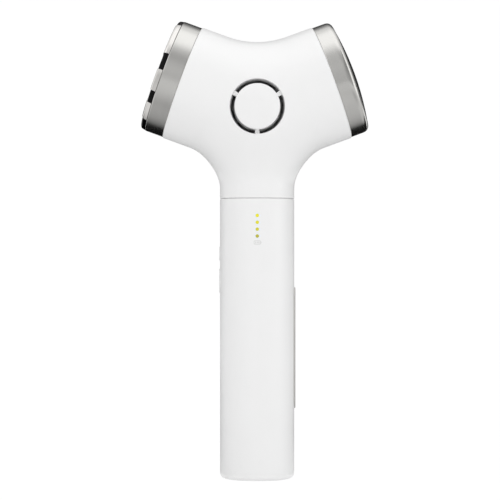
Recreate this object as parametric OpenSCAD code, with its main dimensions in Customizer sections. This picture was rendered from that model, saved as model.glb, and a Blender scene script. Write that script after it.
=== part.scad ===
// Hand-held facial toning device: a handle below a head with two short round arms, a heated
// electrode face on the left one and a Peltier-cooled face on the right one.
// Millimetres. +Z runs up the handle, the front faces -Y, and the origin is the middle of the
// handle's flat bottom.

/* [Head] */
// Height at which the two arm axes and the handle axis meet
centre_z = 144.4; // [143:0.1:146]
// Outer diameter of each arm
head_d = 46; // [45:0.5:47]
// Angle of each arm above the horizontal
head_tilt = 20.2; // [19:0.1:22]
// Distance along an arm from the meeting point to the seat of its collar
head_reach = 31.1; // [31:0.1:33]
// Radius of the saddle between the two arms
saddle_r = 33.5; // [28:0.5:38]
// How far the handle melts into the arms
blend = 27.5; // [24:0.5:30]
// Height above the meeting point at which the handle's form has died away
crown_h = 12.5; // [11:0.5:12.5]
// Wall thickness of the head shells
head_wall = 1.8; // [1.6:0.1:2]

/* [Handle] */
// Width of the handle, left to right
handle_w = 29.2; // [29:0.1:31]
// Depth of the handle, front to back
handle_d = 30; // [29.5:0.1:31]
// Squareness of the handle's section, 2 being an ellipse
handle_n = 2.5; // [2.2:0.1:3]
// Height of the seam between the handle and the head
seam_z = 109.5; // [109:0.1:111]
// Wall thickness of the handle
wall = 1.6; // [1.4:0.1:1.8]
// Radius of the handle's bottom edge
bottom_r = 1.8; // [1.2:0.1:2.4]

/* [Faces] */
// Width of each metal collar along its arm
ring_w = 7.5; // [7:0.1:8]
// How far each collar stands back from the arm's surface
collar_inset = 0.3; // [0.1:0.1:0.3]
// Rounding of the hot collar's front edge
hot_edge = 0.5; // [0.3:0.1:0.8]
// Rounding of the cool collar's front edge
cool_edge = 1.3; // [0.6:0.1:1.3]
// How far the electrode face stands out of its collar
face_proud = 2; // [1.8:0.1:2.4]
// Radius of the electrode face where it stands out of its collar
face_r = 22.6; // [22:0.1:22.6]
// Rise of the cooling plate's dome
dome_rise = 2.1; // [1.6:0.05:3]
// Start angle of each electrode segment, from the top of the face
electrode_from = [29.5, 89, 124.5];
// End angle of each electrode segment
electrode_to = [71.5, 111, 147.3];

/* [Vent] */
// Outer radius of the ring-shaped slot
vent_r = 10.55; // [10:0.05:11]
// Radius of the disc inside the slot
vent_disc_r = 8.74; // [8.2:0.02:9]
// Angle that each bridge covers
bridge_angle = 10; // [8:1:18]
// How far the bridges lie under the body's surface
bridge_depth = 1.5; // [1:0.1:2]

/* [Controls] */
// Middle height of the upper side button
power_z = 87.9; // [86:0.1:89]
// Length of the upper side button
power_l = 5.4; // [4.6:0.1:6]
// Middle height of the lower side button
mode_z = 77.3; // [76:0.1:78]
// Length of the lower side button
mode_l = 9.4; // [8:0.1:10]
// Width of both side buttons
button_w = 4.6; // [4.2:0.1:5]
// How far the side buttons stand out
button_proud = 0.3; // [0.2:0.05:0.4]
// Travel of the side buttons
button_travel = 0.4; // [0.3:0.05:0.4]
// Height of the lowest charge light
light_z = 94.8; // [94:0.1:96]
// Distance between the charge lights
light_pitch = 2.65; // [2.4:0.05:2.8]
// Diameter of the charge lights
light_d = 1.35; // [1.2:0.05:1.6]
// Lower end of the hand electrode
strip_z = 27.2; // [22:0.2:32]
// Length of the hand electrode
strip_l = 47.6; // [40:0.2:52]
// Width of the hand electrode
strip_w = 7; // [5:0.5:8]

/* [Cooling] */
// Radius of the fan's frame
fan_r = 13.5; // [13:0.1:13.5]
// Depth of the fan, front to back
fan_depth = 7; // [6:0.5:7]
// Number of fan blades
fan_blades = 11; // [5:1:11]
// Number of heat sink fins
fin_count = 10; // [7:1:10]
// Distance between the fins
fin_pitch = 2.6; // [2.2:0.1:2.8]

/* [Hidden] */

$fn = 72;
head_r = head_d / 2;
collar_r = head_r - collar_inset;
arch_r = saddle_r + head_r;                 // radius of the arms' curved centre line
arch_top = arch_r / cos(head_tilt);         // its centre's height above the meeting point
across = 28;                                // steps across one half of a section
arch_rows = 20;                             // rows of the head shell beside the collars
neck_rows = 12;                             // rows from there down to the seam
seam_gap = 0.1;                             // gap between the head and the handle
neck_z = seam_z - 4.6;                      // lower end of the neck sleeve
ring_end = head_reach + ring_w;             // front edge of the collars
shoulder = ring_end - 3.8;                  // seat of the seals inside the collars
face_back = shoulder + 0.6;                 // back of the face plates
face_front = ring_end + face_proud;         // front of the electrode face
spigot_r = head_r - head_wall - 0.15;       // part of a collar that sits inside the shells
spigot_l = 4;
lip_r = head_r - 3.6;                       // bore of the collars
plate_r = head_r - 1.8;                     // part of the face plates inside the collars
board_y = -9.6;                             // front of the main board
board_t = 1;
spine_y = board_y + board_t;                // front of the chassis' spine
cell_r = 9.1;
cell_y = 2.9;
cell_z = 12;
cell_l = 49.5;
fan_y = -11;                                // front of the fan
ear_r = 15.2;                               // where the fan's screws are
ear_angles = [90, 210, 330];
motor_x = 5;                                // front end of the motor's can
motor_y = 4;
motor_z = 118.5;
motor_r = 4;
floor_t = 2;
port_y = spine_y + 1.63;                    // middle of the charging socket
side_x = -handle_w / 2 + wall;              // inner face of the handle's left wall

white = [0.93, 0.93, 0.93];
metal = [0.72, 0.72, 0.73];
green = [0.10, 0.38, 0.22];

// ---------------------------------------------------------------- the body's form

// Signed distance of (x, z) above the arch, the curved centre line from arm to arm
function arch_rise(x, z) =
    let (a = abs(x), rise = z - centre_z, h = arch_top - rise)
    atan2(a, h) < head_tilt ? arch_r - norm([a, h])
                            : rise * cos(head_tilt) - a * sin(head_tilt);

// Square of the body's half depth at (x, z), for the surface s inside the outer one.
// The arch and the handle's post are joined by a smooth maximum of their squared depths.
function depth_sq(x, z, s) =
    let (arch = pow(head_r - s, 2) - pow(arch_rise(x, z), 2),
         fade = pow(max(z - centre_z, 0) / crown_h, 2),
         side = pow(abs(x) / (handle_w / 2 - s), handle_n),
         post = pow(handle_d / 2 - s, 2) * (1 - side - fade),
         near = max(blend * blend - abs(arch - post), 0))
    max(arch, post) + near * near / (4 * blend * blend);

function half_depth(x, z, s) = sqrt(max(depth_sq(x, z, s), 0));

// Half width of the body at height z, found by halving the interval from lo to hi
function edge_x(z, s, lo = 0, hi = 45, n = 26) =
    let (m = (lo + hi) / 2)
    n == 0 ? m : depth_sq(m, z, s) > 0 ? edge_x(z, s, m, hi, n - 1) : edge_x(z, s, lo, m, n - 1);

// Height of the saddle's silhouette at x
function saddle_z(x, s) =
    let (r = saddle_r + s)
    abs(x) < r * sin(head_tilt)
        ? centre_z + arch_top - sqrt(r * r - x * x)
        : centre_z + (head_r - s + abs(x) * sin(head_tilt)) / cos(head_tilt);

// Point i, j of the grid that covers the front of the body, s inside the outer surface: rows run
// from arm to arm beside the collars, then straight across down to the seam
function grid_point(i, j, s) =
    let (u = 2 * j / across - 1,
         top_x = head_reach * cos(head_tilt) - (head_r - s) * sin(head_tilt),
         low_x = head_reach * cos(head_tilt) + (head_r - s) * sin(head_tilt),
         low_z = centre_z + head_reach * sin(head_tilt) - (head_r - s) * cos(head_tilt),
         f = (1 - cos(180 * min(i / arch_rows, 1))) / 2,
         g = pow(max(i - arch_rows, 0) / neck_rows, 1.3),
         z = low_z + (seam_z + seam_gap / 2 - low_z) * g,
         x = i <= arch_rows ? (1 - f) * top_x * u + f * low_x * sin(90 * u)
                            : edge_x(z, s) * sin(90 * u),
         h = i <= arch_rows ? (1 - f) * saddle_z(top_x * u, s) + f * low_z : z,
         on_rim = i == 0 || (i >= arch_rows && (j == 0 || j == across)))
    [x, on_rim ? 0 : -half_depth(x, h, s), h];

// Numbers of the grid's outermost points, once round
function rim(rows) = concat(
    [for (j = [0 : across]) j],
    [for (i = [1 : rows]) i * (across + 1) + across],
    [for (j = [across - 1 : -1 : 0]) rows * (across + 1) + j],
    [for (i = [rows - 1 : -1 : 1]) i * (across + 1)]);

// Front half of the head's housing as an open shell of even wall
module half_shell() {
    rows = arch_rows + neck_rows;
    count = (rows + 1) * (across + 1);
    points = [for (s = [0, head_wall], i = [0 : rows], j = [0 : across]) grid_point(i, j, s)];
    skin = [for (i = [0 : rows - 1], j = [0 : across - 1], k = [0, 1])
        let (a = i * (across + 1) + j, b = a + across + 1)
        k == 0 ? [a, a + 1, b] : [a + 1, b + 1, b]];
    lining = [for (f = skin) [f[2] + count, f[1] + count, f[0] + count]];
    edge = rim(rows);
    lip = [for (k = [0 : len(edge) - 1], side = [0, 1])
        let (a = edge[k], b = edge[(k + 1) % len(edge)])
        side == 0 ? [a, a + count, b] : [b, a + count, b + count]];
    polyhedron(points, concat(skin, lining, lip), convexity = 6);
}

// Round plug along Y at (cx, cz), from s under the body's front surface back to the plane y = back
module skin_plug(cx, cz, r, s, back, rings = 1, steps = 20) {
    function on_skin(d, a) =
        let (x = cx + d * cos(a), z = cz + d * sin(a)) [x, -half_depth(x, z, s), z];
    points = concat([on_skin(0, 0), [cx, back, cz]],
        [for (k = [1 : rings], a = [0 : steps - 1]) on_skin(r * k / rings, 360 * a / steps)],
        [for (a = [0 : steps - 1])
            [cx + r * cos(360 * a / steps), back, cz + r * sin(360 * a / steps)]]);
    function at(k, a) = 2 + (k - 1) * steps + a % steps;
    ends = [for (a = [0 : steps - 1], t = [0, 1])
        t == 0 ? [0, at(1, a + 1), at(1, a)] : [1, at(rings + 1, a), at(rings + 1, a + 1)]];
    skin = [for (k = [1 : rings], a = [0 : steps - 1], t = [0, 1])
        t == 0 ? [at(k, a), at(k, a + 1), at(k + 1, a)]
               : [at(k, a + 1), at(k + 1, a + 1), at(k + 1, a)]];
    polyhedron(points, concat(ends, skin), convexity = 4);
}

// The handle's section, s inside its outer line
function section(s) =
    [for (k = [0 : 2 * across - 1])
        let (a = 180 * k / across - 90, depth = sqrt(1 - pow(abs(sin(a)), handle_n)))
        [(handle_w / 2 - s) * sin(a), (cos(a) > 0 ? -1 : 1) * (handle_d / 2 - s) * depth]];

module section_block(s, z0, z1) translate([0, 0, z0]) linear_extrude(z1 - z0) polygon(section(s));

// Solid through a list of [s, z] levels of the handle's section
module section_loft(levels) {
    n = 2 * across;
    points = [for (l = levels, p = section(l[0])) [p[0], p[1], l[1]]];
    sides = [for (i = [0 : len(levels) - 2], k = [0 : n - 1], t = [0, 1])
        let (a = i * n + k, b = i * n + (k + 1) % n)
        t == 0 ? [a, a + n, b] : [b, a + n, b + n]];
    caps = [[for (k = [0 : n - 1]) k],
            [for (k = [n - 1 : -1 : 0]) (len(levels) - 1) * n + k]];
    polyhedron(points, concat(sides, caps), convexity = 2);
}

// ---------------------------------------------------------------- placing

// Puts children on an arm, side -1 the left one and 1 the right one, with +Z out along its axis
module on_arm(side) translate([0, 0, centre_z]) rotate([0, side * (90 - head_tilt), 0]) children();

// Rod of radius r along Y, from y0 to y1
module rod_y(r, y0, y1) translate([0, y1, 0]) rotate([90, 0, 0]) cylinder(h = y1 - y0, r = r);

// Rod of radius r along X, from x0 to x1
module rod_x(r, x0, x1) translate([x0, 0, 0]) rotate([0, 90, 0]) cylinder(h = x1 - x0, r = r);

module stadium(l, w) {
    square([l - w, w], center = true);
    for (s = [-1, 1]) translate([s * (l - w) / 2, 0]) circle(d = w);
}

// Upright stadium of length l and width w, from x0 to x1 at height z
module side_stadium(z, l, w, x0, x1)
    translate([x0, 0, z]) rotate([0, 90, 0]) linear_extrude(x1 - x0) stadium(l, w);

module at_lights() for (k = [0 : 3]) translate([0, 0, light_z + k * light_pitch]) children();

module at_fan_ears() for (a = ear_angles)
    translate([ear_r * cos(a), 0, centre_z + ear_r * sin(a)]) children();

// Where the two head shells are pinned together
pin_places = [[-8, 164.5], [8, 164.5], [-9.5, 127], [9.5, 127]];

// ---------------------------------------------------------------- housing

module handle_sleeve() color(white) difference() {
    section_loft(concat(
        [for (a = [0 : 22.5 : 90]) [bottom_r * (1 - sin(a)), bottom_r * (1 - cos(a))]],
        [[0, seam_z - 0.35], [0.25, seam_z - seam_gap / 2]]));
    section_block(wall, floor_t, seam_z + 1);
    at_lights() rod_y(light_d / 2, -handle_d / 2 - 1, -handle_d / 2 + wall + 1);
    side_stadium(power_z, power_l + 0.3, button_w + 0.3, -handle_w, side_x + 1);
    side_stadium(mode_z, mode_l + 0.3, button_w + 0.3, -handle_w, side_x + 1);
    side_stadium(strip_z + strip_l / 2, strip_l, strip_w, handle_w / 2 - 0.9, handle_w);
    for (k = [0.15, 0.85])
        translate([0, 0, strip_z + k * strip_l]) rod_x(1.2, handle_w / 2 - wall - 1, handle_w / 2);
    translate([0, 0, 15.4]) rod_x(0.45, -handle_w / 2 - 1, side_x + 0.5);
    translate([0, port_y, -1]) linear_extrude(floor_t + 2) stadium(9.2, 3.5);
}

module shell_half() {
    difference() {
        union() {
            half_shell();
            skin_plug(0, centre_z, vent_r + 1.3, 0.6, -16.8, 3, 40);
            for (p = pin_places) skin_plug(p[0], p[1], 2.5, head_wall / 2, 0);
        }
        translate([0, 0, centre_z]) rod_y(vent_r, -30, -12);
    }
}

module head_front_shell() color(white) {
    shell_half();
    for (p = pin_places) translate([p[0], 0, p[1]]) rod_y(1.1, -1, 4);
    for (a = ear_angles) difference() {
        skin_plug(ear_r * cos(a), centre_z + ear_r * sin(a), 2.1, head_wall / 2, fan_y);
        translate([ear_r * cos(a), 0, centre_z + ear_r * sin(a)]) rod_y(0.7, fan_y - 4, fan_y + 1);
    }
}

module head_rear_shell() color(white) {
    difference() {
        mirror([0, 1, 0]) shell_half();
        for (p = pin_places) translate([p[0], 0, p[1]]) rod_y(1.15, -1, 4.3);
    }
    for (x = [motor_x - 11.5, motor_x - 3]) difference() {
        translate([x, motor_y, motor_z - 4]) cube([1.5, 10.6, 8]);
        translate([0, motor_y, motor_z]) rod_x(motor_r, x - 1, x + 3);
    }
}

module neck_sleeve() color(white) difference() {
    union() {
        section_block(head_wall, neck_z, neck_z + 9);
        section_block(wall, neck_z + 1, neck_z + 2);
    }
    section_block(wall + 1.5, neck_z - 1, neck_z + 10);
}

// Disc and bridges inside the ring-shaped vent
module vent_disc() {
    skin_plug(0, centre_z, vent_disc_r, 0, -19.2, 3, 40);
    translate([0, 0, centre_z]) difference() {
        rod_y(vent_disc_r, -19.3, -17);
        rod_y(vent_disc_r - 1.2, -18, -16);
    }
    for (a = [30, 150, 270]) {
        front = half_depth(vent_r * cos(a), centre_z + vent_r * sin(a), bridge_depth);
        translate([0, 0, centre_z]) rotate([90, 0, 0]) translate([0, 0, 17])
            rotate([0, 0, a - bridge_angle / 2]) rotate_extrude(angle = bridge_angle)
            translate([vent_disc_r - 0.3, 0]) square([vent_r - vent_disc_r + 0.3, front - 17]);
    }
}

module front_vent_disc() color(white) vent_disc();
module rear_vent_disc() color(white) mirror([0, 1, 0]) vent_disc();

// ---------------------------------------------------------------- collars and faces

function arc(cx, cy, r, a0, a1, n) =
    [for (k = [0 : n]) let (a = a0 + (a1 - a0) * k / n) [cx + r * cos(a), cy + r * sin(a)]];

module head_ring(edge) rotate_extrude(convexity = 4) polygon(concat(
    [[collar_r - 0.3, head_reach], [collar_r, head_reach + 0.3]],
    arc(collar_r - edge, ring_end - edge, edge, 0, 90, 5),
    [[plate_r + 0.1, ring_end], [plate_r + 0.1, shoulder], [lip_r, shoulder],
     [lip_r, head_reach - spigot_l], [spigot_r, head_reach - spigot_l], [spigot_r, head_reach]]));

module hot_ring() color(metal) on_arm(-1) head_ring(hot_edge);
module cool_ring() color(metal) on_arm(1) head_ring(cool_edge);

module seal_ring() translate([0, 0, shoulder]) difference() {
    cylinder(h = face_back - shoulder, r = plate_r - 0.1);
    translate([0, 0, -1]) cylinder(h = 3, r = lip_r + 0.2);
}

module hot_seal() color("dimgray") on_arm(-1) seal_ring();
module cool_seal() color("dimgray") on_arm(1) seal_ring();

edge_r = 1;                                 // rounding of the electrode face's rim
pad_t = 0.6;                                // depth of the electrode segments in the face
pad_proud = 0.25;                           // how far they stand out of it
pad_r = 15.8;                               // inner radius of the electrode segments

// One electrode segment, an angled strip that wraps over the rim of the face down to height `foot`
module electrode(from, to, foot) rotate([0, 0, from]) rotate_extrude(angle = to - from) polygon(concat(
    [[pad_r, face_front - pad_t], [pad_r, face_front + pad_proud]],
    arc(face_r - edge_r, face_front - edge_r, edge_r + pad_proud, 90, 0, 4),
    [[face_r + pad_proud, foot], [face_r - pad_t, foot]],
    arc(face_r - edge_r, face_front - edge_r, edge_r - pad_t, 0, 90, 4)));

module electrode_set(foot) for (m = [0, 1], k = [0 : len(electrode_from) - 1])
    mirror([0, m, 0]) electrode(electrode_from[k], electrode_to[k], foot);

hot_plate_r = 11;

module hot_face() color([0.06, 0.06, 0.07]) on_arm(-1) {
    difference() {
        rotate_extrude(convexity = 4) polygon(concat(
            [[hot_plate_r - 1, face_back], [plate_r, face_back], [plate_r, ring_end],
             [face_r, ring_end]],
            arc(face_r - edge_r, face_front - edge_r, edge_r, 0, 90, 4),
            [[hot_plate_r, face_front], [hot_plate_r, face_front - 1],
             [hot_plate_r - 1, face_front - 1]]));
        electrode_set(ring_end - 1);
    }
    for (a = [0, 120, 240]) rotate([0, 0, a]) translate([15.5, 0, 31]) difference() {
        cylinder(h = face_back - 30.8, r = 2);
        translate([0, 0, -1]) cylinder(h = 4.5, r = 0.7);
    }
}

module hot_electrodes() color([0.85, 0.85, 0.86]) on_arm(-1) electrode_set(ring_end + 0.05);

module hot_plate() color([0.85, 0.85, 0.86]) on_arm(-1) {
    rise = 0.6;
    sphere_r = (pow(hot_plate_r - 0.05, 2) + rise * rise) / (2 * rise);
    intersection() {
        translate([0, 0, face_front + rise - sphere_r]) sphere(r = sphere_r, $fn = 200);
        translate([0, 0, face_front]) cylinder(h = 2, r = hot_plate_r - 0.05);
    }
    translate([0, 0, face_front - 1]) cylinder(h = 1, r = hot_plate_r - 0.05);
    translate([0, 0, face_back]) cylinder(h = face_front - 1 - face_back, r = hot_plate_r - 1.1);
}

module hot_heater() color("darkorange") on_arm(-1)
    translate([0, 0, face_back - 1.2]) cylinder(h = 1.2, r = 9.8);

module hot_board() color(green) on_arm(-1) translate([0, 0, 29.9]) difference() {
    cylinder(h = 1.1, r = lip_r - 0.4);
    for (a = [0, 120, 240]) rotate([0, 0, a]) translate([15.5, 0, -1]) cylinder(h = 3, r = 0.8);
    translate([0, 0, -1]) cylinder(h = 3, r = 3);
}

module hot_screws() color(metal) on_arm(-1) for (a = [0, 120, 240]) rotate([0, 0, a])
    translate([15.5, 0, 29.1]) {
        cylinder(h = 0.8, r = 1.4);
        cylinder(h = 4.9, r = 0.7);
    }

// Dome of the cooling plate, as a section through its middle
module cool_plate() color([0.78, 0.78, 0.80]) on_arm(1) {
    sphere_r = (plate_r * plate_r + dome_rise * dome_rise) / (2 * dome_rise);
    reach = asin(plate_r / sphere_r);
    rotate_extrude(convexity = 4) polygon(concat(
        [[0, face_back], [plate_r, face_back]],
        arc(0, ring_end + dome_rise - sphere_r, sphere_r, 90 - reach, 90, 12)));
}

module thermal_pad() color("lightgray") on_arm(1)
    translate([0, 0, face_back - 0.25]) cube([27, 27, 0.5], center = true);

peltier_l = 26;
peltier_t = 3.4;
peltier_z = face_back - 0.5 - peltier_t;    // back of the Peltier element
sink_t = 3;
lead_bend = peltier_l / 2 + 3.5;            // where its leads pass the heat sink

module peltier_module() on_arm(1) translate([0, 0, peltier_z]) {
    plate_t = 0.8;
    color("white") for (z = [0, peltier_t - plate_t])
        translate([-peltier_l / 2, -peltier_l / 2, z]) cube([peltier_l, peltier_l, plate_t]);
    color("goldenrod") for (i = [-3 : 3], j = [-3 : 3])
        translate([i * 3.5 - 0.7, j * 3.5 - 0.7, plate_t]) cube([1.4, 1.4, peltier_t - 2 * plate_t]);
}

module heat_sink() color("silver") on_arm(1) {
    base_z = peltier_z - sink_t;
    fin_t = 0.9;
    fin_h = base_z - 15.5;
    difference() {
        translate([0, 0, base_z]) cylinder(h = sink_t, r = lip_r - 0.4);
        for (s = [-1, 1]) translate([0, s * 16.4, base_z - 1]) cylinder(h = 9, r = 1.1);
        translate([lead_bend - 3, -2.2, base_z - 1]) cube([8, 4.4, sink_t + 2]);
    }
    for (k = [0 : fin_count - 1]) {
        x = (k - (fin_count - 1) / 2) * fin_pitch;
        w = min(sqrt(18 * 18 - x * x), 14);
        translate([x - fin_t / 2, -w, base_z - fin_h]) cube([fin_t, 2 * w, fin_h]);
    }
}

module sink_screws() color(metal) on_arm(1) for (s = [-1, 1])
    translate([0, s * 16.4, peltier_z - sink_t - 1]) {
        cylinder(h = 1, r = 1.8);
        cylinder(h = face_back - peltier_z + sink_t + 1, r = 1);
    }

// ---------------------------------------------------------------- fan and motor

hub_r = 5;
shaft_r = 0.75;

module fan_frame() color("dimgray") translate([0, 0, centre_z]) {
    difference() {
        rod_y(fan_r, fan_y, fan_y + fan_depth);
        rod_y(fan_r - 1, fan_y - 1, fan_y + fan_depth + 1);
    }
    for (a = ear_angles) rotate([0, -a, 0]) difference() {
        union() {
            translate([ear_r, 0, 0]) rod_y(2, fan_y, fan_y + 1.5);
            translate([fan_r - 0.5, fan_y, -1.6]) cube([ear_r - fan_r + 0.5, 1.5, 3.2]);
        }
        translate([ear_r, 0, 0]) rod_y(0.8, fan_y - 1, fan_y + 3);
    }
    difference() {
        union() {
            for (a = [30 : 120 : 270]) rotate([0, -a, 0])
                translate([1, fan_y + fan_depth - 1, -1]) cube([fan_r - 1.5, 1, 2]);
            rod_y(3.4, fan_y + fan_depth - 1, fan_y + fan_depth);
            rod_y(2, fan_y + 2.6, fan_y + fan_depth);
        }
        rod_y(shaft_r + 0.04, fan_y, fan_y + fan_depth - 0.4);
    }
}

// One pitched blade: a slab turned about its own length, kept between hub and frame
module fan_blade() intersection() {
    translate([hub_r - 0.5, fan_y + 2.9, 0]) rotate([38, 0, 0])
        translate([0, -0.35, -4]) cube([fan_r - hub_r, 0.7, 8]);
    difference() {
        rod_y(fan_r - 1.5, fan_y + 0.6, fan_y + 5.4);
        rod_y(hub_r - 0.4, fan_y, fan_y + fan_depth);
    }
}

module fan_rotor() color("gray") translate([0, 0, centre_z]) {
    difference() {
        rod_y(hub_r, fan_y + 0.6, fan_y + 5.4);
        rod_y(hub_r - 0.8, fan_y + 1.6, fan_y + 6);
    }
    rod_y(shaft_r, fan_y + 1, fan_y + fan_depth - 0.6);
    for (k = [0 : fan_blades - 1]) rotate([0, 360 / fan_blades * k, 0]) fan_blade();
}

module fan_screws() color(metal) at_fan_ears() {
    rod_y(1.5, fan_y + 1.5, fan_y + 2.3);
    rod_y(0.7, fan_y - 3.5, fan_y + 1.6);
}

module motor_can() color("silver") translate([0, motor_y, motor_z]) difference() {
    rod_x(motor_r, motor_x - 13, motor_x);
    rod_x(0.54, motor_x - 5, motor_x + 1);
}

module motor_weight() color("darkgoldenrod") translate([0, motor_y, motor_z]) {
    rod_x(0.5, motor_x - 4, motor_x + 4.8);
    difference() {
        rod_x(3.2, motor_x + 0.8, motor_x + 4.8);
        translate([motor_x, -4, 0.9]) cube([6, 8, 4]);
    }
}

// ---------------------------------------------------------------- inside the handle

rib_t = 1.6;
rib_z = [cell_z - rib_t, 24, 38, 52, cell_z + cell_l];

module chassis() color([0.3, 0.3, 0.32]) difference() {
    union() {
        intersection() {
            section_block(wall + 0.3, 10, neck_z);
            union() {
                translate([-9.5, spine_y, 10]) cube([19, 1.2, neck_z - 10]);
                for (z = rib_z) translate([-20, spine_y, z]) cube([40, cell_y + 3 - spine_y, rib_t]);
                for (s = [-1, 1]) translate([s * 11.6 - 0.8, spine_y + 1, 10]) cube([1.6, 3, neck_z - 10]);
                translate([-20, spine_y, neck_z - rib_t]) cube([40, 25, rib_t]);
            }
        }
        for (z = [70, 92]) translate([switch_x + 2.5, spine_y + 1, z]) cube([1.6, 9.6, 2]);
        for (z = [14, 92], s = [-1, 1]) translate([s * 7, 0, z]) rod_y(1.6, spine_y, spine_y + 3.4);
    }
    translate([0, cell_y, cell_z]) cylinder(h = cell_l, r = cell_r + 0.1);
    for (z = [14, 92], s = [-1, 1]) translate([s * 7, 0, z]) rod_y(0.7, spine_y - 1, spine_y + 3);
    translate([0, 0, neck_z - 3]) cylinder(h = 6, r = 5);
    translate([0, port_y, 5]) cube([10, 3.6, 16], center = true);
}

module main_board() color(green) difference() {
    translate([-9.5, board_y, 3]) cube([19, board_t, neck_z - rib_t - 3.2]);
    for (z = [14, 92], s = [-1, 1]) translate([s * 7, 0, z]) rod_y(0.8, board_y - 1, board_y + 2);
}

connector_x = 3.5;                          // middle of the connectors
connector_z = 81;                           // their upper end

module board_parts() color([0.12, 0.12, 0.13]) {
    translate([-3.5, board_y - 1, 60]) cube([7, 1, 7]);
    translate([-2.5, board_y - 0.9, 44]) cube([5, 0.9, 4]);
    translate([2.5, board_y - 1.6, 28]) cube([4, 1.6, 4]);
    for (k = [0 : 3]) translate([-6.5, board_y - 0.8, 70 + 3 * k]) cube([1.6, 0.8, 0.9]);
    for (s = [-1, 1])
        translate([s * connector_x - 1.6, board_y - 2, connector_z - 5]) cube([3.2, 2, 5]);
    for (x = [-6, -1]) translate([x + 2, 0, 36]) rod_y(1.5, board_y - 2.2, board_y);
}

module board_screws() color(metal) for (z = [14, 92], s = [-1, 1]) translate([s * 7, 0, z]) {
    rod_y(1.4, board_y - 0.8, board_y);
    rod_y(0.7, board_y - 0.1, board_y + 3.4);
}

module charge_port() color(metal) translate([0, port_y, 0.6]) {
    difference() {
        linear_extrude(7.35) stadium(8.94, 3.26);
        translate([0, 0, -1]) linear_extrude(7.6) stadium(8.34, 2.56);
    }
    translate([-3.3, -0.35, 1.2]) cube([6.6, 0.7, 6]);
}

module battery_cell() color("steelblue") translate([0, cell_y, cell_z]) {
    cylinder(h = cell_l - 0.6, r = cell_r);
    cylinder(h = cell_l, r = 2.8);
}

module battery_strap() color([0.2, 0.2, 0.2]) translate([0, 0, 43]) difference() {
    union() {
        translate([0, cell_y, 0]) cylinder(h = 6, r = cell_r + 0.5);
        translate([-cell_r - 0.5, spine_y + 1.2, 0])
            cube([2 * cell_r + 1, cell_y - spine_y - 1.2, 6]);
    }
    translate([0, cell_y, -1]) cylinder(h = 8, r = cell_r + 0.02);
    translate([-cell_r, spine_y, -1]) cube([2 * cell_r, cell_y - spine_y, 8]);
}

module indicator_lens() color("gold") {
    at_lights() rod_y(light_d / 2, -handle_d / 2, -handle_d / 2 + 2.6);
    translate([-1.2, -handle_d / 2 + 2.4, light_z - 1.2]) cube([2.4, 1, 3 * light_pitch + 2.4]);
}

module indicator_leds() color("white") at_lights()
    translate([-0.8, board_y - 0.6, -0.5]) cube([1.6, 0.6, 1]);

// ---------------------------------------------------------------- leads inside the head

lead_r = 0.35;
lead_sides = 6;
lead_steps = 10;

function bezier(p, t) = pow(1 - t, 3) * p[0] + 3 * t * pow(1 - t, 2) * p[1]
    + 3 * t * t * (1 - t) * p[2] + t * t * t * p[3];

// Place of a point p of an arm's own frame, as on_arm puts it
function from_arm(side, p) =
    let (a = side * (90 - head_tilt))
    [p[0] * cos(a) + p[2] * sin(a), p[1], centre_z + p[2] * cos(a) - p[0] * sin(a)];

// Insulated lead from (x, y) on top of a connector, straight up and then along Bezier curves, the
// first of which starts above the connector. `ref` is a direction that the lead never takes.
module lead(x, y, curves, ref = [0, 1, 0]) {
    path = concat([[x, y, connector_z]], [for (i = [0 : len(curves) - 1],
        k = [min(i, 1) : lead_steps]) bezier(curves[i], k / lead_steps)]);
    last = len(path) - 1;
    end = curves[len(curves) - 1];
    function heading(i) = i == 0 ? [0, 0, 1] : i == last ? end[3] - end[2] : path[i + 1] - path[i - 1];
    function ring(i) =
        let (u = cross(heading(i), ref), v = cross(u, heading(i)))
        [for (k = [0 : lead_sides - 1]) let (a = 360 * k / lead_sides)
            path[i] + lead_r * (cos(a) * u / norm(u) + sin(a) * v / norm(v))];
    points = [for (i = [0 : last], p = ring(i)) p];
    walls = [for (i = [0 : last - 1], k = [0 : lead_sides - 1], t = [0, 1])
        let (a = i * lead_sides + k, b = i * lead_sides + (k + 1) % lead_sides)
        t == 0 ? [a, b, a + lead_sides] : [b, b + lead_sides, a + lead_sides]];
    caps = [[for (k = [lead_sides - 1 : -1 : 0]) k],
            [for (k = [0 : lead_sides - 1]) last * lead_sides + k]];
    polyhedron(points, concat(walls, caps), convexity = 4);
}

// Pairs of leads from the main board to the motor, the heater, the Peltier element and the fan
module inner_leads() color("firebrick") for (s = [-1, 1]) {
    rise = neck_z + 1.5;
    left = -connector_x + 0.6 * s;
    right = connector_x + 0.6 * s;
    front = board_y - 1.25;
    back = board_y - 0.45;
    motor_end = [motor_x - 13, motor_y, motor_z - 1.2 * s];
    fan_end = [s, fan_y + fan_depth, centre_z];
    beside_sink = from_arm(1, [lead_bend, s, 20]);
    lead(left, front, [[[left, front, rise], [left, front, rise + 10], motor_end - [6 - s, 0, 0],
        motor_end]]);
    lead(left, back, [[[left, back, rise], [left + 0.4, 5, rise + 34], from_arm(-1, [0, s, 18]),
        from_arm(-1, [0, s, face_back - 1.2])]]);
    lead(right, back, [
        [[right, back, rise], [right, 7, rise + 34], from_arm(1, [lead_bend, s, 4]), beside_sink],
        [beside_sink, from_arm(1, [lead_bend, s, 30]),
         from_arm(1, [lead_bend, s, peltier_z + 0.5]), from_arm(1, [peltier_l / 2, s, peltier_z + 0.5])]]);
    lead(right, front, [[[right, front, rise], [right - 1, -6, rise + 20], fan_end + [0, 12, 0],
        fan_end]], [1, 0, 0]);
}

// ---------------------------------------------------------------- side buttons

flange_x = side_x + 0.4;                    // outer face of a button's inner flange
flange_t = 0.6;
switch_x = flange_x + flange_t + button_travel + 0.1;       // top of the switches
plunge = 0.75;                              // how far the plungers reach into the switches

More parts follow.
